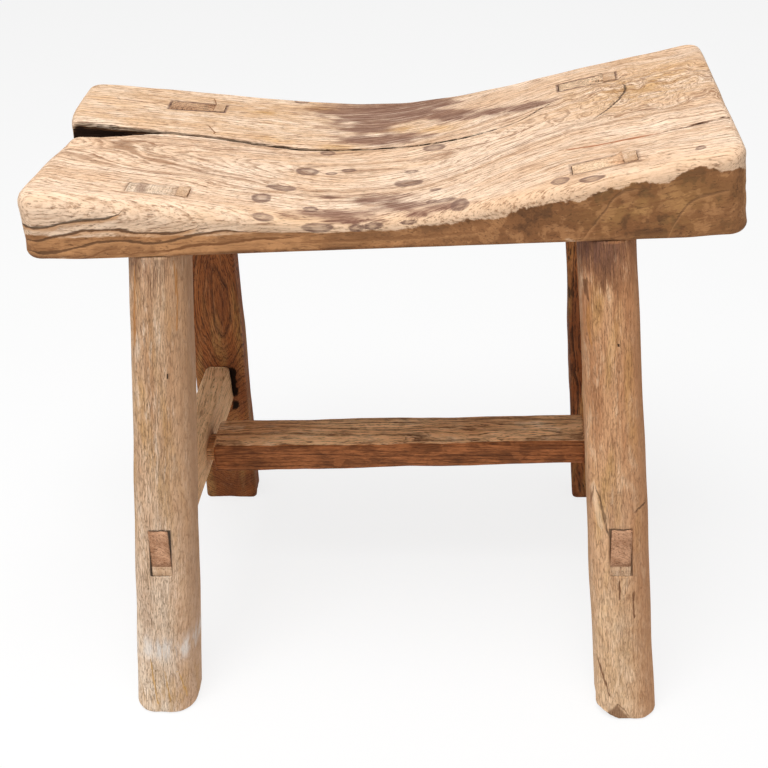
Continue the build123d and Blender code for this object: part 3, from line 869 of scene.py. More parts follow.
def make_leg(s, corner, material):
    """A tapered D section between the floor and the seat, in level rings about the splayed
    axis, with the mortise of the side stretcher through it, a rounded foot, and the tenon
    that goes up through the seat and is cut to its wedge."""
    body, mortise_rows = leg_body(s, corner)
    rings = capped(np.concatenate([body, leg_tenon(s, corner)]), LEG_CAP_STEPS)
    middle = np.arange(-LEG_STEPS[0], LEG_STEPS[0] + 1)
    first, last = (row + LEG_CAP_STEPS - 1 for row in mortise_rows)
    hole = (first, last, middle % LEG_COLUMNS, LEG_COLUMNS // 2 - middle)
    points, quads, triangles, wall_start = tube(rings, hole)
    points[:, 2] = np.maximum(points[:, 2], 0)
    if corner == "front_right":
        e1, e2, _ = leg_axes(s, corner)
        from_foot = points - leg_line(s, corner)[0]
        broken = smooth(-from_foot @ e1, 3 * MM, 22 * MM)
        broken *= smooth(-from_foot @ e2, -16 * MM, 12 * MM)
        chip = broken * (CHIP_HEIGHT + ripple(points, 0.008, 77) * 0.6 * MM)
        points[:, 2] = np.maximum(points[:, 2], chip)
    fields = {
        "grain": leg_grain(s, corner, points),
        "marks": leg_marks(s, corner, points, wall_start),
        "tones": leg_tones(s, corner, points),
    }
    names = (f"{corner}_leg", material, "leg_wood", f"leg_{corner}")
    return add_piece(*names, points, quads, triangles, fields)


# ---- stretchers

SIDE_STEPS = (14, 6, 12)
SIDE_ROWS = (30, 8, 30)
CROSS_STEPS = (10, 8, 10)
CROSS_ROWS = 110
TENON_ROUND = 0.8 * MM
CROSS_TENON_ROUND = 0.6 * MM
# Height of the side wedge at the leg's inner face, and its rise to the outer one
SIDE_WEDGE, SIDE_WEDGE_RISE = 4 * MM, 5.5 * MM
# Width of the cross wedge at the root of the tenon, and what it gains to the tenon's end
CROSS_WEDGE, CROSS_WEDGE_GAIN = 4 * MM, 2 * MM
FIRST_ONLY = (1, 0, 0, 0)


def box_section(half_wide, top, bottom, rounding, knots, steps):
    """Columns (across, height) round a rounded rectangle, from the middle of its top towards
    +across and round. Knots are arc lengths between which the columns lie evenly."""
    turn = np.linspace(0, np.pi / 2, 12)
    out, over = rounding * np.sin(turn), rounding * np.cos(turn)
    inner = half_wide - rounding
    across = np.concatenate([[0], inner + out, inner + over, [0]])
    height = np.concatenate([[top], top - rounding + over, bottom + rounding - out, [bottom]])
    lengths = np.concatenate([[0], np.cumsum(np.hypot(np.diff(across), np.diff(height)))])
    arc = spread([0, *knots, lengths[-1]], grid_lines(steps))
    right = np.stack([np.interp(arc, lengths, across), np.interp(arc, lengths, height)], axis=-1)
    left = right[-2:0:-1] * [-1, 1]
    return np.concatenate([right, left])


def rod_grain(points, heart, seed, axis, bow):
    """Along the rod, distance from a heart line beside it, and the way round it."""
    along, across, height = points[:, axis], points[:, 1 - axis], points[:, 2]
    da, dz = across - heart[0], height - heart[1]
    size = [0.02, 0.02, 0.02]
    size[axis] = 0.12
    radial = np.hypot(da, dz) + bow * along**2 + ripple(points, size, seed) * 0.7 * MM
    return np.stack([along, radial, np.arctan2(da, dz) * 0.03], axis=-1)


def hewn(rings, middle, wear):
    """Rings of points moved towards their middle by the depth of the wear."""
    away = rings - middle
    reach = np.maximum(np.linalg.norm(away, axis=-1, keepdims=True), MM)
    return rings - away / reach * wear[..., None]


def make_side_stretcher(s, side, material):
    """A rounded bar from leg to leg with a tenon through each, thinner at its underside where
    the wedge lies, and the mortise of the cross stretcher through its middle."""
    front, rear = f"front_{side}", f"rear_{side}"
    centre, slope = side_line(s, side)
    top_height = SIDE_TOP_HEIGHTS[side]
    bottom_height = top_height - s.side_height
    cross_middle = CROSS_TOP_HEIGHTS[side] - CROSS_THICKNESSES[side] / 2
    half_wide, half_leg, rounding = s.side_thickness / 2, s.leg_depth / 2, s.stretcher_round
    straight = top_height - rounding - cross_middle - s.cross_tenon_thickness / 2 - FIT
    hole_top = half_wide - rounding + rounding * np.pi / 2 + straight
    hole_low = hole_top + s.cross_tenon_thickness + 2 * FIT
    knots = [hole_top, hole_low]
    bar = box_section(half_wide, top_height, bottom_height, rounding, knots, SIDE_STEPS)
    inner_y = s.seat_depth / 2 - s.leg_edge_inset
    outer_y = inner_y + s.leg_edge_splay + half_leg
    thin = s.side_tenon_thickness / 2

    def tenon(corner, share):
        """The ring at a share of the way from the leg's outer face to its inner one."""
        offset = half_leg * (1 - 2 * share) - s.tenon_recess * (1 - share)
        middle_y = leg_face_y(s, corner, offset, centre[0], centre[2])
        wedge = (np.abs(middle_y) - inner_y) / (outer_y - inner_y)
        low = bottom_height + SIDE_WEDGE + wedge * SIDE_WEDGE_RISE + FIT
        span = thin + top_height - low
        knots = [thin + 0.3 * span, thin + 0.6 * span]
        section = box_section(thin, top_height, low, TENON_ROUND, knots, SIDE_STEPS)
        across, height = section.T
        y = leg_face_y(s, corner, offset, centre[0] + across, height)
        return np.stack([centre[0] + slope * y + across, y, height], axis=-1)

    shares = np.linspace(0, 1, 12)
    front_rows = [tenon(front, share) for share in shares]
    rear_rows = [tenon(rear, share) for share in shares[::-1]]

    hole_half = s.cross_tenon_width / 2 + FIT
    across, height = bar.T
    ends = [leg_face_y(s, leg, -half_leg, centre[0] + across, height) for leg in (front, rear)]
    y = spread([ends[0], -hole_half, hole_half, ends[1]], grid_lines(SIDE_ROWS))
    axis_x = centre[0] + slope * y
    body = np.stack([axis_x + across, y, height + 0 * y], axis=-1)
    wear = np.clip(ripple(body, (0.02, 0.07, 0.02), 81) * 0.3 + 0.3, 0, 1) * MM
    wear *= smooth(np.abs(np.abs(y) - hole_half), 0, 0.01)
    body = hewn(body, np.stack([axis_x, y, centre[2] + 0 * y], axis=-1), wear)
    rings = capped(np.concatenate([np.stack(front_rows), body, np.stack(rear_rows)]))
    first = len(front_rows) + CAP_STEPS - 1 + SIDE_ROWS[0]
    near = np.arange(SIDE_STEPS[0], SIDE_STEPS[0] + SIDE_STEPS[1] + 1)
    hole = (first, first + SIDE_ROWS[1], near, (-near) % rings.shape[1])
    points, quads, triangles, wall_start = tube(rings, hole)

    cloud = ripple(points, (0.02, 0.06, 0.03), 83)
    end = smooth(np.abs(points[:, 1]), inner_y + 0.045, inner_y + 0.055)
    marks = np.outer(np.clip(0.08 * cloud, 0, 1), FIRST_ONLY)
    worn = 0.4 + 0.3 * smooth(points[:, 2], top_height - 6 * MM, top_height - 1 * MM)
    marks[:, 2] = worn * (1 - end)
    # Painted shade on the walls of the cross stretcher's mortise.
    marks[wall_start:, 3] = 0.9
    fields = {
        "grain": rod_grain(points, (centre[0] - 0.03, centre[2] - 0.05), 82, 1, 0.05),
        "marks": marks,
        "tones": np.outer(0.8 * end, FIRST_ONLY),
    }
    names = (f"{side}_side_stretcher", material, "stretcher_wood", f"side_stretcher_{side}")
    return add_piece(*names, points, quads, triangles, fields)


def make_cross_stretcher(s, material):
    """A hewn bar between the side stretchers, wider and thinner to the right, with rounded
    ends and edges and a tenon through each side stretcher."""
    half_side, inward = s.side_thickness / 2, s.side_thickness - s.tenon_recess
    roots = {side: side_line(s, side)[0][0] - across * half_side for side, across in SIDES.items()}
    middles = {side: CROSS_TOP_HEIGHTS[side] - CROSS_THICKNESSES[side] / 2 for side in SIDES}
    left, right = (roots[side] - across * s.cross_standoff for side, across in SIDES.items())
    half_wide, half_tall = s.cross_tenon_width / 2, s.cross_tenon_thickness / 2

    def at(x, values):
        return values["left"] + (values["right"] - values["left"]) * (x - left) / (right - left)

    def ring(x, half_wide, half_tall, rounding, rear_cut=0.0):
        knots = [half_wide * 0.98, half_wide + 2 * half_tall]
        section = box_section(half_wide, half_tall, -half_tall, rounding, knots, CROSS_STEPS)
        y = np.minimum(section[:, 0], half_wide - rear_cut)
        return np.stack([x + 0 * y, y, at(x, middles) + section[:, 1]], axis=-1)

    def tenon(x, share=0.0):
        rear_cut = CROSS_WEDGE + CROSS_WEDGE_GAIN * share
        return ring(x, half_wide, half_tall, CROSS_TENON_ROUND, rear_cut)

    shares = np.linspace(0, 1, 8)
    left_tenon, right_tenon = (
        [tenon(roots[side] + across * inward * share, share) for share in shares]
        for side, across in SIDES.items()
    )
    rounding = s.cross_round
    turn = rounding * (1 - np.cos(np.linspace(0, np.pi / 2, 7)))
    straight = np.linspace(left + rounding, right - rounding, CROSS_ROWS)[1:-1]
    inner = np.concatenate([left + turn, straight, right - turn[::-1]])
    inset = quarter_drop(np.minimum(inner - left, right - inner), rounding)
    wide, tall = at(inner, CROSS_WIDTHS) / 2 - inset, at(inner, CROSS_THICKNESSES) / 2 - inset
    body = [ring(*row, rounding) for row in zip(inner, wide, tall)]
    rings = np.stack([*left_tenon[::-1], tenon(left), *body, tenon(right), *right_tenon])
    x = rings[..., 0]
    wear = np.clip(ripple(rings, (0.09, 0.03, 0.02), 91) * 0.45 + 0.45, 0, 1.5) * MM
    wear += np.clip(ripple(rings, (0.03, 0.012, 0.01), 92) * 0.12, -0.2, 0.2) * MM
    wear *= smooth(x, left, left + 8 * MM) * (1 - smooth(x, right - 8 * MM, right))
    rings = hewn(rings, np.stack([x, 0 * x, at(x, middles)], axis=-1), wear)
    points, quads, triangles, _ = tube(capped(rings))
    cloud = ripple(points, (0.06, 0.02, 0.02), 94)
    fields = {
        "grain": rod_grain(points, (-0.02, middles["left"] - 0.035), 93, 0, 0.04),
        "marks": np.outer(np.clip(0.08 * cloud, 0, 1), FIRST_ONLY),
        "tones": np.outer(0.8 * smooth(-points[:, 1], 0.017, 0.022), FIRST_ONLY),
    }
    names = ("cross_rail", material, "stretcher_wood", "cross_stretcher")
    return add_piece(*names, points, quads[:, ::-1], triangles[:, ::-1], fields)


# ---- materials


def operation(kind):
    """A method of Value that makes one math node."""

    def method(self, *others):
        return self.shader.math(kind, self, *others)

    return method


class Value:
    """A number in a shader. Each sign between two of them makes a math node."""

    def __init__(self, shader, socket):
        self.shader, self.socket = shader, socket

    __add__ = operation("ADD")
    __sub__ = operation("SUBTRACT")
    __mul__ = operation("MULTIPLY")
    __truediv__ = operation("DIVIDE")
    __abs__ = operation("ABSOLUTE")
    __gt__ = operation("GREATER_THAN")
    __lt__ = operation("LESS_THAN")
    most = operation("MAXIMUM")
    fraction = operation("FRACT")
    floor = operation("FLOOR")

    def ramp(self, low, high, to_low=0.0, to_high=1.0):
        """A smooth step between low and high, mapped to two values."""
        inputs = enumerate((self, low, high, to_low, to_high))
        return self.shader.value("ShaderNodeMapRange", inputs, interpolation_type="SMOOTHSTEP")

    def fade(self, low, high):
        """One below low, zero above high."""
        return self.ramp(low, high, 1.0, 0.0)

    def spread_by(self, noise, width):
        """The number moved by a noise around a half, by so much from its one end to its other."""
        return self + (noise - 0.5) * width


class Shader:
    """Nodes of one material or world; an input may be a Value, a socket or a constant."""

    def __init__(self, owner):
        owner.use_nodes = True
        self.tree = owner.node_tree
        self.tree.nodes.clear()

    def node(self, kind, inputs=(), **settings):
        """A node with its settings and its inputs by number or name."""
        made = self.tree.nodes.new(kind)
        for key, value in settings.items():
            setattr(made, key, value)
        for key, value in dict(inputs).items():
            value = getattr(value, "socket", value)
            if isinstance(value, bpy.types.NodeSocket):
                self.tree.links.new(value, made.inputs[key])
            else:
                made.inputs[key].default_value = value
        return made

    def value(self, kind, inputs=(), output=0, **settings):
        """One output of a new node."""
        return Value(self, self.node(kind, inputs, **settings).outputs[output])

    def math(self, kind, *inputs):
        return self.value("ShaderNodeMath", enumerate(inputs), operation=kind)

    def mix(self, share, a, b):
        return self.value("ShaderNodeMix", {0: share, 6: a, 7: b}, 2, data_type="RGBA")

    def split(self, value, kind="XYZ"):
        """The three parts of a vector or a colour."""
        made = self.node(f"ShaderNodeSeparate{kind}", {0: value})
        return [Value(self, socket) for socket in made.outputs]

    def attribute(self, name):
        """Red, green, blue and alpha of a colour attribute."""
        made = self.node("ShaderNodeAttribute", attribute_name=name)
        return [*self.split(made.outputs["Color"], "Color"), Value(self, made.outputs["Alpha"])]

    def noise(self, vector, scale=1.0, detail=2.0, roughness=0.5):
        inputs = {"Vector": vector, "Scale": scale, "Detail": detail, "Roughness": roughness}
        return self.value("ShaderNodeTexNoise", inputs)

    def combine(self, values):
        return self.value("ShaderNodeCombineXYZ", enumerate(values))

    def stretched(self, place, lengths, detail, roughness):
        """Noise on coordinates divided by a length for each direction."""
        scaled = [value / size for value, size in zip(place, lengths)]
        return self.noise(self.combine(scaled), 1.0, detail, roughness)

    def curve(self, value, knots, low, high):
        """A curve through knots of shares from zero to one, mapped to low and high."""
        made = self.node("ShaderNodeFloatCurve", {"Value": value})
        points = made.mapping.curves[0].points
        points[0].location, points[-1].location = knots[0], knots[-1]
        for place in knots[1:-1]:
            points.new(*place)
        made.mapping.update()
        return Value(self, made.outputs[0]) * (high - low) + low

    def drawn_line(self, u, v, knots, width, wobble=None, band=0.0):
        """One on a line drawn through knots (u, v) in millimetres, thinning to its ends, or on
        a band that fades away below it."""
        knots = millimetres(*knots)
        u0, u1 = knots[0, 0], knots[-1, 0]
        v0, v1 = knots[:, 1].min() - 1 * MM, knots[:, 1].max() + 1 * MM
        share = (u - u0) / (u1 - u0)
        places = [((a - u0) / (u1 - u0), (b - v0) / (v1 - v0)) for a, b in knots]
        away = v - self.curve(share, places, v0, v1)
        if wobble is not None:
            away = away.spread_by(wobble, 5 * MM)
        if band:
            below = away.ramp(-band * MM, -0.2 * band * MM) * (away < 0.3 * MM)
            return below * share.fade(0.93, 1.0)
        taper = share.ramp(0.0, 0.12) * share.fade(0.8, 1.0)
        near = (abs(away) / (taper * (width * MM) + 0.15 * MM)).fade(0.35, 1.0)
        return near * (taper > 0.001)

    def drawn_lines(self, table, u, v, where, wobble=None):
        """Masks of the lines of a table, each with its colour's name and its strength."""
        return [
            (self.drawn_line(u, v, knots, width, wobble) * where, key, strength)
            for knots, width, key, strength in table
        ]


# Lengths of the noises along the grain, across the rings and round them, detail, roughness
NOISES = (
    ((0.09, 0.014, 0.014), 2, 0.5),
    ((0.022, 0.0025, 0.004), 3, 0.6),
    ((0.009, 0.0014, 0.0014), 2, 0.6),
    ((0.005, 0.0008, 0.0008), 1.5, 0.6),
    ((0.03, 0.0011, 0.0011), 3, 0.7),
    ((0.16, 0.022, 0.03), 3, 0.6),
    ((0.03, 0.009, 0.009), 4, 0.65),
)
CRACKLE_CELL = (0.010, 0.0035, 0.0035)
# Cells a metre of the noises that don't follow the grain
GRIME_SCALE, BLOTCH_SCALE, CURL_SCALE = 60.0, 42.0, 170.0
SPECULAR, BUMP_STRENGTH, BUMP_DISTANCE = 0.15, 0.8, 0.7 * MM


def wood_material(
    name,
    wood,
    ring_width,
    own_grain=True,
    lines=0.85,
    coarse=1.0,
    crackle=0.0,
    drawn=None,
    bold=(),
    calm_front=False,
):
    """Weathered ring-porous wood. Each ring starts with a thin dark line at an even distance
    from the heart, bent by slow noise and broken into dashes; open pores are dark dashes
    between them, fibres are finer streaks, and three broader noises vary the ground. The
    marks attribute adds stains, spots, worn places and dark places, among them painted shade
    and shadow; the tones attribute adds browner and yellower ones, some of them painted shade,
    whose soft fields are cut ragged by noise. Bold rings are darker, and on a calm front face
    they all are fainter."""
    material = bpy.data.materials.new(name)
    sh = Shader(material)
    place = sh.value("ShaderNodeTexCoord", output="Object")
    x, y, z = sh.split(place)
    fibres = (z, y, x)
    if own_grain:
        fibres = sh.split(sh.value("ShaderNodeAttribute", output="Vector", attribute_name="grain"))
    slow, fine, broken, pores, fibre, broad, cloud = (sh.stretched(fibres, *row) for row in NOISES)
    grime = sh.noise(place, GRIME_SCALE, 6, 0.7)

    def paint(share, key):
        nonlocal colour
        colour = sh.mix(share, colour, wood[key])

    # ring lines
    bent = fibres[1].spread_by(slow, ring_width * 1.1).spread_by(fine, ring_width * 0.5)
    phase = bent / ring_width
    share = phase.fraction()
    each = sh.value("ShaderNodeTexWhiteNoise", {"W": phase.floor()}, noise_dimensions="1D")
    line = share.ramp(0.0, 0.06) * share.fade(0.08, 0.34) * (each * 0.4 + 0.6)
    share = (phase * 2.7 + 0.3).fraction()
    thin = share.ramp(0.0, 0.12) * share.fade(0.14, 0.5)
    line = line * broken.ramp(0.36, 0.58, 0.45, 1.0)
    line = line.most(thin * broken.ramp(0.42, 0.6, 0.15, 0.85))
    if calm_front:
        line = line * y.ramp(-0.114, -0.096, x.ramp(-0.1, 0.06, 0.55, 0.2), 1.0)
    for radius, strength in bold:
        line = line.most(abs(bent - radius * MM).fade(0.2 * MM, 1.1 * MM) * strength)
    pores = pores.ramp(0.58, 0.7) * (line * 0.5 + 0.5)

    # the ground
    colour = sh.mix(broad.ramp(0.35, 0.65), wood["light"], wood["middle"])
    paint(cloud.ramp(0.5, 0.72, 0.0, 0.7), "middle")
    paint(cloud.ramp(0.27, 0.48, 0.6, 0.0), "pale")
    if own_grain:
        stain, spot, worn, dark = sh.attribute("marks")
        brown, yellow, burl, shade = sh.attribute("tones")
        paint(yellow * cloud.ramp(0.35, 0.6, 0.25, 0.85), "yellow")
        paint(worn * grime.ramp(0.35, 0.6, 0.95, 0.6), "worn")
    paint(fibre.ramp(0.26, 0.44, 0.35, 0.0), "pale")
    if calm_front:
        paint(y.ramp(-0.119, -0.094, x.ramp(-0.1, 0.06, 0.4, 0.8), 0.0), "middle")
    if own_grain:
        blotch = sh.noise(place, BLOTCH_SCALE, 5, 0.6)
        edge = brown + (cloud * 0.55 + fibre * 0.3 - 0.42) + (blotch - 0.5) * (shade * 2.2)
        worn_ground = colour
        colour = sh.mix(cloud.ramp(0.36, 0.62, 0.0, 0.6), wood["brown"], wood["line"])
        paint(shade, "line")
        paint(blotch.ramp(0.42, 0.47, 0.65, 0.0) * (shade * -0.3 + 1.0), "brown")
        paint(shade * blotch.ramp(0.51, 0.57, 0.0, 0.8), "pore")
        colour = sh.mix(edge.ramp(0.42, 0.6), worn_ground, colour)
        curls = abs(sh.noise(place, CURL_SCALE, 3, 0.6) - 0.5)
        paint(burl * curls.ramp(0.0, 0.05, 0.7, 0.0), "line")
        paint(burl * cloud.ramp(0.4, 0.6, 0.1, 0.75), "yellow")

    # the grain over it
    paint(fibre.ramp(0.5, 0.68, 0.0, 0.7 * coarse), "line")
    paint(line * lines, "line")
    paint(grime.ramp(0.55, 0.75, 0.0, 0.4), "line")
    paint(pores * (0.85 * coarse), "pore")
    height = line * -0.5 + fibre * 0.7 + pores * -0.8
    if crackle:
        warped = [v / size + (fine - 0.5) * 2.5 for v, size in zip(fibres, CRACKLE_CELL)]
        inputs = {"Vector": sh.combine(warped), "Scale": 1.0}
        cells = sh.value("ShaderNodeTexVoronoi", inputs, "Distance", feature="DISTANCE_TO_EDGE")
        net = cells.fade(0.015, 0.12) * broken.ramp(0.38, 0.6, 0.25, 1.0)
        paint(net * crackle, "line")
        height = height + net * -0.5

    # marks of use
    specular = SPECULAR
    if own_grain:
        stained = (stain + (fibre * 0.9 + cloud * 0.6 - 0.75) * 0.95).ramp(0.2, 0.85)
        stained = stained * fibre.ramp(0.34, 0.62, 0.66, 0.97)
        paint(stained, "stain")
        paint(stained * (line * 0.75), "pore")
        jitter = spot.spread_by(grime, 0.3)
        ring = jitter.ramp(0.4, 0.52) * jitter.ramp(0.6, 0.8, 1.0, 0.6)
        paint(ring * fibre.ramp(0.3, 0.6, 0.5, 0.85), "spot")
        # The dark mark: darker wood beside the split, painted shade on the walls of the split, the
        # check and the mortises, and a painted shadow on the rear left leg.
        darkening_and_painted_shade = dark.spread_by(fibre, 0.8).ramp(0.3, 0.75)
        paint(darkening_and_painted_shade, "dark")
        specular = darkening_and_painted_shade * -0.14 + specular
    for mask, key, strength in drawn(sh, (x, y, z), fine, cloud) if drawn else ():
        paint(mask * strength, key)
        if key == "dark":
            height = height + mask * -2.5

    relief = {"Strength": BUMP_STRENGTH, "Distance": BUMP_DISTANCE, "Height": height}
    inputs = {
        "Base Color": colour,
        "Roughness": grime * 0.25 + 0.62,
        "Specular IOR Level": specular,
        "Normal": sh.value("ShaderNodeBump", relief),
    }
    surface = sh.value("ShaderNodeBsdfPrincipled", inputs)
    sh.node("ShaderNodeOutputMaterial", {"Surface": surface})
    return material


# Drawn lines: knots in millimetres, width, colour and strength. Those of the seat's top run
# along X or along Y, those of its front face along X, with the depth and the strength of the
# brown band below them, and those of the legs up the leg.
ALONG_TOP = (
    ([(u, v + 0.4) for u, v in SPLIT[4:, :2] / MM], 0.9, "dark", 0.9),
    ([(38, -4), (65, -6.3), (88, -3), (112, 6), (130, 21)], 1, "line", 0.8),
    (
        [(130, -53), (150, -55.5), (167, -57), (188, -58.5), (208, -60), (232, -58.6), (290, -57)],
        1.8, "red", 0.95,
    ),
    ([(196, -59.4), (212, -60), (230, -58.7), (250, -58), (290, -57)], 1.7, "dark", 0.9),
    ([(-178, -60), (-168, -59.5), (-153, -66)], 1, "line", 0.9),
    ([(-196, -4), (-187, -5), (-178, -8)], 1.2, "line", 0.7),
)
ACROSS_TOP = (
    ([(-6, 157), (10, 171), (34, 184.5), (46, 187.5), (58, 186)], 1.1, "dark", 0.75),
    ([(82, -146), (90, -147.5), (104, -152)], 0.7, "line", 0.9),
    ([(22, -137), (33, -142), (42, -147)], 0.9, "line", 0.9),
)
ON_FACE = (
    (
        [(-262, 432), (-247, 429.6), (-236, 429.8), (-226, 433), (-211, 434.6), (-198, 435.5),
         (-189, 437.5), (-181, 441)],
        1.5, "dark", 0.75, 5, 0.8,
    ),
    (
        [(-262, 421), (-250, 419), (-237, 421.5), (-221, 425), (-206, 427), (-190, 427),
         (-168, 424.4), (-150, 423.8), (-138, 425.4), (-126, 432)],
        1.4, "pore", 0.9, 5, 0.75,
    ),
    (
        [(-262, 411), (-235, 410), (-215, 414), (-190, 418), (-160, 416.5), (-140, 420),
         (-126, 423.4), (-108, 425.2), (-92, 424), (-81, 430)],
        1.3, "pore", 0.85, 4.5, 0.75,
    ),
    (
        [(-220, 402), (-190, 407), (-160, 409), (-130, 414), (-110, 415), (-90, 418),
         (-76, 418.8), (-62, 419.6), (-47, 427)],
        1.2, "line", 1.0, 5, 0.75,
    ),
    ([(-60, 415), (-20, 417), (20, 418), (60, 421), (80, 423)], 1.4, "line", 0.6, 4, 0.4),
    ([(-250, 404), (-232, 402), (-212, 405), (-196, 411), (-186, 412)], 0.9, "line", 0.9, 2.5, 0.3),
    ([(150, 424), (158, 436), (165, 447), (172, 452), (182, 453)], 1.6, "pore", 0.55, 5, 0.4),
    ([(205, 420), (212, 436), (222, 446), (234, 450), (244, 452)], 1.6, "pore", 0.5, 5, 0.35),
)
LEFT_LEG_HOLES = (([(309, 8.4), (311, 8.6), (313.5, 8.5)], 0.6, "dark", 0.9),)
LEFT_LEG_LINES = (
    ([(150, -5), (158, 0), (166, 6.5)], 0.6, "dark", 0.7),
    ([(8, -5), (30, -8), (62, -11)], 0.8, "yellow", 0.9),
    ([(12, 6), (30, 3), (44, 1)], 0.8, "yellow", 0.9),
    ([(14, 19), (26, 17), (44, 12)], 0.7, "yellow", 0.9),
    ([(330, -17), (365, -16), (400, -15)], 0.9, "orange", 0.8),
    ([(345, 15), (372, 16), (402, 14)], 1, "orange", 0.8),
)
RIGHT_LEG_HOLES = (
    ([(178, -14), (198, -17), (212, -18.5), (222, -18)], 3, "pale", 0.45),
    ([(333.5, 3.7), (334.7, 3.7), (336, 3.7)], 0.8, "dark", 0.9),
)
RIGHT_LEG_LINES = (
    ([(174, -8.5), (187, -11), (204, -14), (216, -17)], 0.8, "dark", 0.55),
    ([(190, -21), (206, -20.5), (218, -18)], 0.6, "line", 0.7),
    ([(116, -2), (126, -2.4), (138, -2)], 0.9, "line", 0.95),
    ([(100, 9), (114, 8.5), (128, 8.8)], 1, "line", 0.95),
    ([(22, -13), (38, -17), (58, -22)], 0.9, "line", 0.9),
    ([(20, -12), (40, -6), (60, -1)], 0.9, "pale", 0.4),
    ([(3, 2), (10, -2), (18, -9)], 0.9, "line", 0.6),
    ([(366, -16), (376, -18), (384, -17)], 1.5, "line", 0.95),
    ([(330, -15), (350, -17), (366, -16)], 1, "orange", 0.7),
)
RIGHT_LEG_NICK = (([(12, 195.5), (16, 198.5), (21, 200)], 1, "dark", 0.6),)
# Strength of the dirt round each tenon's end, and the rectangles it lies round
TENON_DIRT = {"front_left": 0.22, "front_right": 0.42, "rear_left": 0.95, "rear_right": 0.8}
SEAT_TENON_HALVES, SIDE_TENON_HALF = (22.8 * MM, 8.3 * MM), 8.1 * MM
# Y before which a place belongs to the seat's front face, or to a leg's front
FRONT_EDGE_Y, LEG_FRONT_Y = -0.108, -0.1
# Change of X with height along each front leg's middle, and X of it at the floor
LEFT_LEG_MIDDLE, RIGHT_LEG_MIDDLE = (-0.082, 0.1967), (0.0735, -0.19388)
SHADE_WOBBLE, SHADE_WIDTH = 16 * MM, 20 * MM


def beyond(u, v, middle_u, middle_v, half_u, half_v):
    """How far a place lies outside a rectangle."""
    return (abs(u - middle_u) - half_u).most(abs(v - middle_v) - half_v)


def seat_details(s):
    """Cracks of the board: the split's line and the brown line beside it, the check at the
    right, the curved gouge in the burl, short checks in the rear plank, the lower edges of
    the worn layers on the front face, and the dirt round the tenons."""
    tenons = []
    for corner, strength in TENON_DIRT.items():
        middle = leg_at(s, corner, saddle(s, leg_line(s, corner)[1][0]))
        tenons.append((float(middle[0]), float(middle[1]), strength))

    def draw(sh, place, fine, cloud):
        x, y, z = place
        top, face = y > FRONT_EDGE_Y, y < FRONT_EDGE_Y
        masks = sh.drawn_lines(ALONG_TOP, x, y, top, fine)
        masks += sh.drawn_lines(ACROSS_TOP, y, x, top, fine)
        for knots, width, key, strength, band, depth in ON_FACE:
            under = sh.drawn_line(x, z, knots, width, fine, band)
            masks.append((under * face, "brown", depth))
            masks += sh.drawn_lines([(knots, width, key, strength)], x, z, face, fine)
        for cx, cy, strength in tenons:
            away = beyond(x, y, cx, cy, *SEAT_TENON_HALVES)
            rim = away.spread_by(fine, 2 * MM).fade(0.8 * MM, 2.6 * MM)
            masks.append((rim * (top * cloud.ramp(0.35, 0.55, 0.4, 1.0)), "spot", strength))
        return masks

    return draw


def tenon_rim(across, z, low, high, fine, strength):
    """Dark dirt round a side stretcher's end on the leg's face."""
    away = beyond(across, z, 0.0, (low + high) / 2, SIDE_TENON_HALF, (high - low) / 2)
    return away.spread_by(fine, 1.6 * MM).fade(0.0, 1.0 * MM), "dark", strength


def left_leg_details(sh, place, fine, cloud):
    """Marks of the front left leg: painted shade down its right side, a tiny hole, the whitish
    smear above its foot, the yellowish cracks below that, and the stripes and knot of its
    tenon's end."""
    x, y, z = place
    front, end = y < LEG_FRONT_Y, z > 0.42
    across = x + (z * LEFT_LEG_MIDDLE[0] + LEFT_LEG_MIDDLE[1])
    smear = z.ramp(0.05, 0.062) * z.fade(0.066, 0.084) * cloud.ramp(0.38, 0.6)
    stripes = sh.stretched(place, (0.0011, 0.02, 0.02), 2, 0.6)
    knot = abs(x + 0.172).spread_by(cloud, 3 * MM)
    rim, key, strength = tenon_rim(across, z, 0.1372, 0.1783, fine, 0.9)
    return [
        # Painted shade: the leg's right side is painted in its browner colour.
        (across.spread_by(cloud, SHADE_WOBBLE).ramp(0.0, SHADE_WIDTH), "middle", 0.6),
        (z.fade(0.02, 0.06) * cloud.ramp(0.45, 0.6), "yellow", 0.35),
        (smear, "white", 0.75),
        (end * stripes.ramp(0.45, 0.65), "line", 0.3),
        (end * knot.fade(2 * MM, 6 * MM), "stain", 0.5),
        *sh.drawn_lines(LEFT_LEG_HOLES, z, across, front),
        *sh.drawn_lines(LEFT_LEG_LINES, z, across, front, fine),
        (rim * front, key, strength),
    ]


def right_leg_details(sh, place, fine, cloud):
    """Marks of the front right leg: painted shade down its right side, a nail hole, a pale
    flake with the crack beside it, and the torn places at its foot."""
    x, y, z = place
    front = y < LEG_FRONT_Y
    across = x + (z * RIGHT_LEG_MIDDLE[0] + RIGHT_LEG_MIDDLE[1])
    grain_end = (z + abs(across + 8 * MM) * 1.3).spread_by(cloud, 8 * MM)
    rim, key, strength = tenon_rim(across, z, 0.1402, 0.1813, fine, 0.7)
    return [
        # Painted shade: the leg's right side is painted in its browner colour.
        (across.spread_by(cloud, SHADE_WOBBLE).ramp(-2 * MM, SHADE_WIDTH), "middle", 0.65),
        *sh.drawn_lines(RIGHT_LEG_HOLES, z, across, front),
        *sh.drawn_lines(RIGHT_LEG_LINES, z, across, front, fine),
        *sh.drawn_lines(RIGHT_LEG_NICK, across, z, front, fine),
        (rim * front, key, strength),
        (grain_end.fade(13 * MM, 17 * MM) * front, "line", 0.75),
    ]


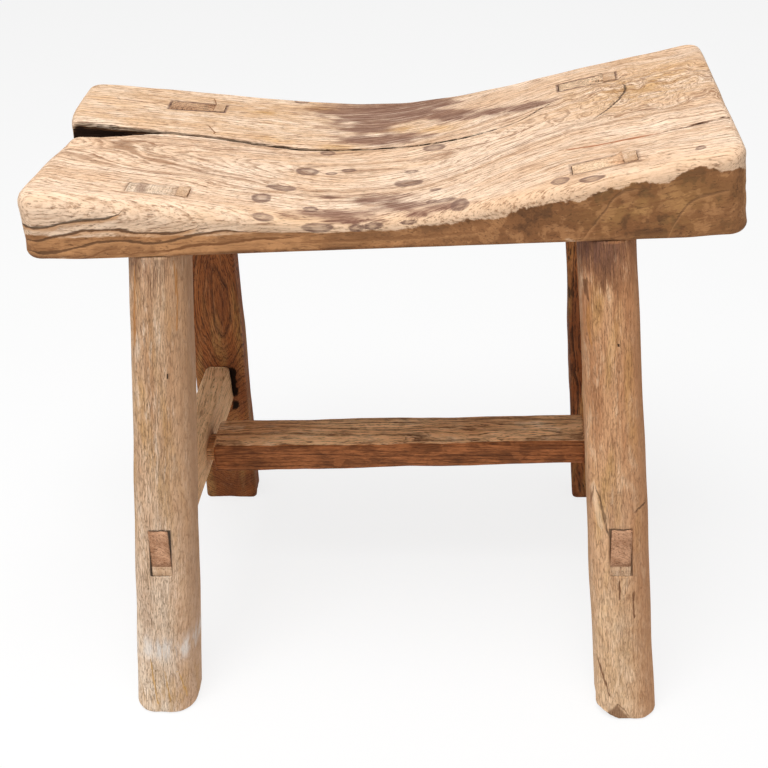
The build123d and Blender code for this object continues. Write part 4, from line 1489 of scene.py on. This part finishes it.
def palette(colours, wood):
    """The colours of one wood by their use, with the shared ones for stains and wear."""
    own = {use: getattr(colours, f"{wood}_{use}") for use in USES}
    own["brown"] = getattr(colours, f"{wood}_brown", own["middle"])
    own["worn"] = getattr(colours, f"{wood}_worn", own["pale"])
    own.update({key: getattr(colours, key) for key in SHARED_TINTS})
    return {key: tuple(value) + (1,) for key, value in own.items()}


# ---- properties

# Description and default of each size
SIZES = {
    "seat_length": ("Length of the seat board", 0.52),
    "seat_depth": ("Depth of the seat board", 0.238),
    "underside_height": ("Height of the seat's underside at its middle", 0.409),
    "seat_rise": ("How much higher the right end stands", 0.014),
    "left_thickness": ("Thickness of the seat's left end", 0.0558),
    "right_thickness": ("Thickness of the seat's right end", 0.0666),
    "meeting_thickness": ("Thickness where the two flanks would meet", 0.0192),
    "meeting_offset": ("Offset of that meeting from the middle", 0.0055),
    "hollow_radius": ("Radius of the saddle's bottom", 0.48),
    "right_batter": ("How far the right end leans in at its top", 0.006),
    "corner_round": ("Radius of the seat's corners in plan", 0.014),
    "rim_round": ("Radius of the seat's upper edge", 0.008),
    "bottom_round": ("Radius of the seat's lower edge", 0.003),
    "leg_end_inset": ("Distance of the legs' tops from the seat's ends", 0.0965),
    "leg_edge_inset": ("Distance of the legs' tops from the seat's edges", 0.027),
    "leg_top_shift": ("Shift of all the legs' tops across the seat", -0.0055),
    "leg_edge_splay": ("How far the feet stand out across the seat", 0.0615),
    "leg_end_splay": ("How far the feet stand out along the seat", 0.031),
    "leg_depth": ("Depth of a leg", 0.042),
    "leg_foot_width": ("Width of a leg at the floor", 0.051),
    "leg_top_width": ("Width of a leg at the seat", 0.0435),
    "leg_outer_round": ("Radius of a leg's outer edges", 0.019),
    "leg_inner_round": ("Radius of a leg's inner edges", 0.004),
    "foot_round": ("Radius round a leg's foot", 0.0035),
    "mortise_length": ("Length of the mortises in the seat", 0.045),
    "mortise_width": ("Width of the mortises in the seat", 0.016),
    "joint_gap": ("Worn gap round the tenons in the seat", 0.0003),
    "tenon_recess": ("How far the tenons end below the surface", 0.0006),
    "side_height": ("Height of the side stretchers", 0.041),
    "side_thickness": ("Thickness of the side stretchers", 0.023),
    "stretcher_round": ("Radius of the side stretchers' edges", 0.003),
    "side_tenon_thickness": ("Thickness of the side stretchers' tenons", 0.016),
    "cross_tenon_width": ("Width of the cross stretcher's tenons", 0.028),
    "cross_tenon_thickness": ("Thickness of those tenons", 0.013),
    "cross_standoff": ("Gap between the cross bar's ends and the side stretchers", 0.0065),
    "cross_round": ("Radius of the cross bar's edges", 0.004),
}

# What each wood is for, and its four colours by their use
USES = {"light": "Ground", "middle": "Browner parts", "line": "Dark lines", "pale": "Palest wood"}
WOODS = {
    "seat": (
        "the seat",
        (0.90, 0.685, 0.51), (0.76, 0.51, 0.33), (0.22, 0.092, 0.036), (0.95, 0.78, 0.60),
    ),
    # The legs' middle colours also paint shade: down the front legs' right sides, and at the legs'
    # tops under the seat.
    "left_leg": (
        "the front left leg",
        (0.80, 0.53, 0.335), (0.56, 0.31, 0.165), (0.21, 0.115, 0.058), (0.97, 0.78, 0.60),
    ),
    "right_leg": (
        "the front right leg",
        (0.74, 0.41, 0.215), (0.50, 0.225, 0.10), (0.20, 0.088, 0.04), (0.95, 0.69, 0.46),
    ),
    "rear_leg": (
        "the rear legs",
        (0.41, 0.135, 0.039), (0.27, 0.085, 0.028), (0.035, 0.014, 0.007), (0.50, 0.22, 0.09),
    ),
    "side": (
        "the side stretchers",
        (0.93, 0.56, 0.285), (0.78, 0.42, 0.20), (0.24, 0.095, 0.038), (0.97, 0.68, 0.40),
    ),
    "bar": (
        "the cross stretcher",
        (0.97, 0.58, 0.30), (0.66, 0.32, 0.14), (0.075, 0.024, 0.009), (0.95, 0.70, 0.46),
    ),
    "wedge": (
        "the wedges",
        (0.72, 0.49, 0.315), (0.56, 0.34, 0.195), (0.28, 0.14, 0.07), (0.88, 0.68, 0.50),
    ),
}
SHARED_TINTS = {
    "pore": ("Open pores", (0.10, 0.045, 0.021)),
    # The stain colour also paints the seat's shadow at the top of each leg.
    "stain": ("Grey purple stain", (0.185, 0.085, 0.057)),
    "spot": ("Brown spots", (0.15, 0.08, 0.06)),
    "yellow": ("Yellowish places", (0.62, 0.35, 0.12)),
    "orange": ("Rusty streaks", (0.50, 0.22, 0.07)),
    "red": ("Red brown of the check", (0.40, 0.16, 0.075)),
    "white": ("Whitish smears", (0.86, 0.80, 0.74)),
    # The dark colour also paints shade on the walls of the split, the check and the mortises, and a
    # shadow beside the rear left leg's side stretcher.
    "dark": ("Dirt in splits and holes", (0.018, 0.010, 0.007)),
}
TINTS = {
    f"{wood}_{use}": (f"{part} of {what}", colour)
    for wood, (what, *colours) in WOODS.items()
    for (use, part), colour in zip(USES.items(), colours)
}
TINTS |= SHARED_TINTS | {
    "seat_brown": ("Unworn front of the seat", (0.53, 0.262, 0.112)),
    "rear_leg_worn": ("Worn tenon of the rear left leg", (0.68, 0.43, 0.26)),
    "side_brown": ("Ends of the side stretchers' tenons", (0.66, 0.37, 0.22)),
    "bar_brown": ("Reddish face of the cross stretcher", (0.48, 0.17, 0.06)),
    "floor": ("Studio floor", (0.86, 0.86, 0.86)),
}


def label(key):
    """The name shown for a property."""
    return key.replace("_", " ").title()


def length(key, text, default):
    """A length property."""
    settings = {"name": label(key), "description": text, "default": default}
    return FloatProperty(unit="LENGTH", precision=4, **settings)


def tint(key, text, default):
    """A colour property."""
    settings = {"name": label(key), "description": text, "default": default}
    return FloatVectorProperty(subtype="COLOR", size=3, min=0, max=1, **settings)


class StoolSizes(bpy.types.PropertyGroup):
    """Sizes of the stool, the same as those of its frame."""

    __annotations__ = {key: length(key, *row) for key, row in SIZES.items()}


class StoolColours(bpy.types.PropertyGroup):
    """Colours of the wood and of the studio."""

    __annotations__ = {key: tint(key, *row) for key, row in TINTS.items()}


# ---- operators

# Distance in millimetres from the heart, and strength
BOLD_RINGS = ((52, 0.8), (59.5, 0.7))


class STOOL_OT_seat(bpy.types.Operator):
    """Carve the split saddle seat with its mortises"""

    bl_idname = "stool.carve_seat"
    bl_label = "Carve Seat"

    def execute(self, context):
        scene = context.scene
        colours = scene.stool_colours
        details = seat_details(scene.stool_sizes)
        settings = {"drawn": details, "bold": BOLD_RINGS, "calm_front": True}
        material = wood_material("seat_wood", palette(colours, "seat"), 3.8 * MM, **settings)
        make_seat(scene.stool_sizes, material)
        return {"FINISHED"}


class STOOL_OT_legs(bpy.types.Operator):
    """Shape the four splayed legs with their tenons and mortises"""

    bl_idname = "stool.shape_legs"
    bl_label = "Shape Legs"

    def execute(self, context):
        scene = context.scene
        colours = scene.stool_colours
        left, right, rear = (palette(colours, f"{wood}_leg") for wood in ("left", "right", "rear"))
        rear_right = {**rear, "worn": right["pale"]}
        left_front = {"lines": 0.35, "coarse": 0.5, "crackle": 0.6, "drawn": left_leg_details}
        right_front = {"lines": 0.3, "coarse": 0.5, "crackle": 0.4, "drawn": right_leg_details}
        woods = {
            "front_left": ("left_leg_wood", left, 2.6 * MM, left_front),
            "front_right": ("right_leg_wood", right, 3.6 * MM, right_front),
            "rear_left": ("rear_left_leg_wood", rear, 4.0 * MM, {"lines": 0.97}),
            "rear_right": ("rear_right_leg_wood", rear_right, 3.6 * MM, {"lines": 0.97}),
        }
        for corner, (name, wood, ring_width, settings) in woods.items():
            material = wood_material(name, wood, ring_width, **settings)
            make_leg(scene.stool_sizes, corner, material)
        return {"FINISHED"}


class STOOL_OT_stretchers(bpy.types.Operator):
    """Shape the two side stretchers and the cross stretcher"""

    bl_idname = "stool.shape_stretchers"
    bl_label = "Shape Stretchers"

    def execute(self, context):
        scene = context.scene
        colours = scene.stool_colours
        side_colours, bar_colours = palette(colours, "side"), palette(colours, "bar")
        side_wood = wood_material("side_stretcher_wood", side_colours, 3.0 * MM, lines=0.45)
        cross_wood = wood_material("cross_stretcher_wood", bar_colours, 4.0 * MM, lines=0.95)
        for side in SIDES:
            make_side_stretcher(scene.stool_sizes, side, side_wood)
        make_cross_stretcher(scene.stool_sizes, cross_wood)
        return {"FINISHED"}


class STOOL_OT_wedges(bpy.types.Operator):
    """Finish the ten wedges of the frame in their own wood"""

    bl_idname = "stool.finish_wedges"
    bl_label = "Finish Wedges"

    def execute(self, context):
        colours = palette(context.scene.stool_colours, "wedge")
        material = wood_material("wedge_wood", colours, 1.6 * MM, own_grain=False, lines=0.5)
        for name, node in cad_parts.items():
            if "wedge" in name:
                node.data.materials.clear()
                node.data.materials.append(material)
                bevel = node.modifiers.new("worn_edges", "BEVEL")
                bevel.width = 0.3 * MM
                bevel.segments = 2
        return {"FINISHED"}


class STOOL_OT_studio(bpy.types.Operator):
    """Set the floor, lamps, world and camera"""

    bl_idname = "stool.set_studio"
    bl_label = "Set Studio"

    def execute(self, context):
        make_floor(context.scene, context.scene.stool_colours)
        make_world(context.scene)
        make_lamps(context.scene)
        make_camera(context.scene)
        return {"FINISHED"}


OPERATORS = (STOOL_OT_seat, STOOL_OT_legs, STOOL_OT_stretchers, STOOL_OT_wedges, STOOL_OT_studio)


class STOOL_PT_panel(bpy.types.Panel):
    """Buttons for the stool's pieces"""

    bl_label = "Saddle Stool"
    bl_idname = "STOOL_PT_panel"
    bl_space_type = "VIEW_3D"
    bl_region_type = "UI"
    bl_category = "Stool"

    def draw(self, context):
        column = self.layout.column()
        for operator in OPERATORS:
            column.operator(operator.bl_idname)
        for group in (context.scene.stool_sizes, context.scene.stool_colours):
            box = self.layout.box()
            for name in group.bl_rna.properties.keys():
                if name not in ("rna_type", "name"):
                    box.prop(group, name)


# ---- studio

WHITE = (1.0, 1.0, 1.0, 1.0)
FLOOR_REACH = 25.0
AIM = Vector((0, 0, 0.25))
# Place, power in watts and width of each lamp
LAMPS = {"key": ((-0.2, -0.6, 2.4), 50, 1.3), "fill": ((-1.4, -1.9, 1.1), 8, 2.0)}
CAMERA_PLACE = (0.0686, -0.9624, 0.8217)
CAMERA_TURN = (4.67, 31.83, 2.69)  # azimuth, pitch and roll in degrees
CAMERA_LENS, SENSOR_WIDTH = 61.53, 36
FILL_STRENGTH, PAPER_SHARE = 0.39, 0.8


def background_rays(sh):
    """One for the rays that show the surround: camera, glossy and transmission rays."""
    path = sh.node("ShaderNodeLightPath")
    camera, glossy, through_glass = (
        Value(sh, path.outputs[f"Is {kind} Ray"]) for kind in ("Camera", "Glossy", "Transmission")
    )
    return camera.most(glossy).most(through_glass)


def make_floor(scene, colours):
    """A pale square that keeps the stool's soft shadow."""
    size = FLOOR_REACH
    mesh = bpy.data.meshes.new("floor")
    corners = [(-size, -size, 0), (size, -size, 0), (size, size, 0), (-size, size, 0)]
    mesh.from_pydata(corners, [], [(0, 1, 2, 3)])
    floor = bpy.data.objects.new("floor", mesh)
    scene.collection.objects.link(floor)
    material = bpy.data.materials.new("floor_paper")
    sh = Shader(material)
    diffuse = sh.value("ShaderNodeBsdfDiffuse", {"Color": (*colours.floor, 1)})
    white = sh.value("ShaderNodeEmission")
    inputs = {0: background_rays(sh) * PAPER_SHARE, 1: diffuse, 2: white}
    sh.node("ShaderNodeOutputMaterial", {"Surface": sh.value("ShaderNodeMixShader", inputs)})
    mesh.materials.append(material)


def make_world(scene):
    """A white surround for the camera and a weaker light from all sides."""
    scene.world = bpy.data.worlds.new("studio")
    sh = Shader(scene.world)
    fill, white = (
        sh.value("ShaderNodeBackground", {"Color": WHITE, "Strength": strength})
        for strength in (FILL_STRENGTH, 1.0)
    )
    mixed = sh.value("ShaderNodeMixShader", {0: background_rays(sh), 1: fill, 2: white})
    sh.node("ShaderNodeOutputWorld", {"Surface": mixed})


def make_lamps(scene):
    """Soft area lamps that look at the stool."""
    for name, (place, power, width) in LAMPS.items():
        light = bpy.data.lights.new(name, "AREA")
        light.shape = "SQUARE"
        light.size = width
        light.energy = power
        lamp = bpy.data.objects.new(name, light)
        lamp.location = place
        lamp.rotation_euler = (AIM - Vector(place)).to_track_quat("-Z", "Y").to_euler()
        scene.collection.objects.link(lamp)


def make_camera(scene):
    """The camera at the photograph's angle."""
    azimuth, pitch, roll = np.radians(CAMERA_TURN)
    right = np.array([np.cos(azimuth), np.sin(azimuth), 0])
    ahead = np.array([-np.sin(azimuth), np.cos(azimuth), 0])
    forward = ahead * np.cos(pitch) - np.array([0, 0, np.sin(pitch)])
    up = np.cross(right, forward)
    matrix = np.eye(4)
    matrix[:3, 0] = right * np.cos(roll) - up * np.sin(roll)
    matrix[:3, 1] = up * np.cos(roll) + right * np.sin(roll)
    matrix[:3, 2] = -forward
    matrix[:3, 3] = CAMERA_PLACE
    data = bpy.data.cameras.new("camera")
    data.lens = CAMERA_LENS
    data.sensor_width = SENSOR_WIDTH
    camera = bpy.data.objects.new("camera", data)
    camera.matrix_world = Matrix(matrix.tolist())
    scene.collection.objects.link(camera)
    scene.camera = camera
    scene.view_settings.view_transform = "Standard"


CLASSES = (StoolSizes, StoolColours, *OPERATORS, STOOL_PT_panel)


def register():
    for cls in CLASSES:
        bpy.utils.register_class(cls)
    bpy.types.Scene.stool_sizes = PointerProperty(type=StoolSizes)
    bpy.types.Scene.stool_colours = PointerProperty(type=StoolColours)


def unregister():
    del bpy.types.Scene.stool_colours
    del bpy.types.Scene.stool_sizes
    for cls in reversed(CLASSES):
        bpy.utils.unregister_class(cls)


def main():
    """Make every piece and the studio."""
    register()
    bpy.ops.stool.carve_seat()
    bpy.ops.stool.shape_legs()
    bpy.ops.stool.shape_stretchers()
    bpy.ops.stool.finish_wedges()
    bpy.ops.stool.set_studio()


if __name__ == "__main__":
    main()
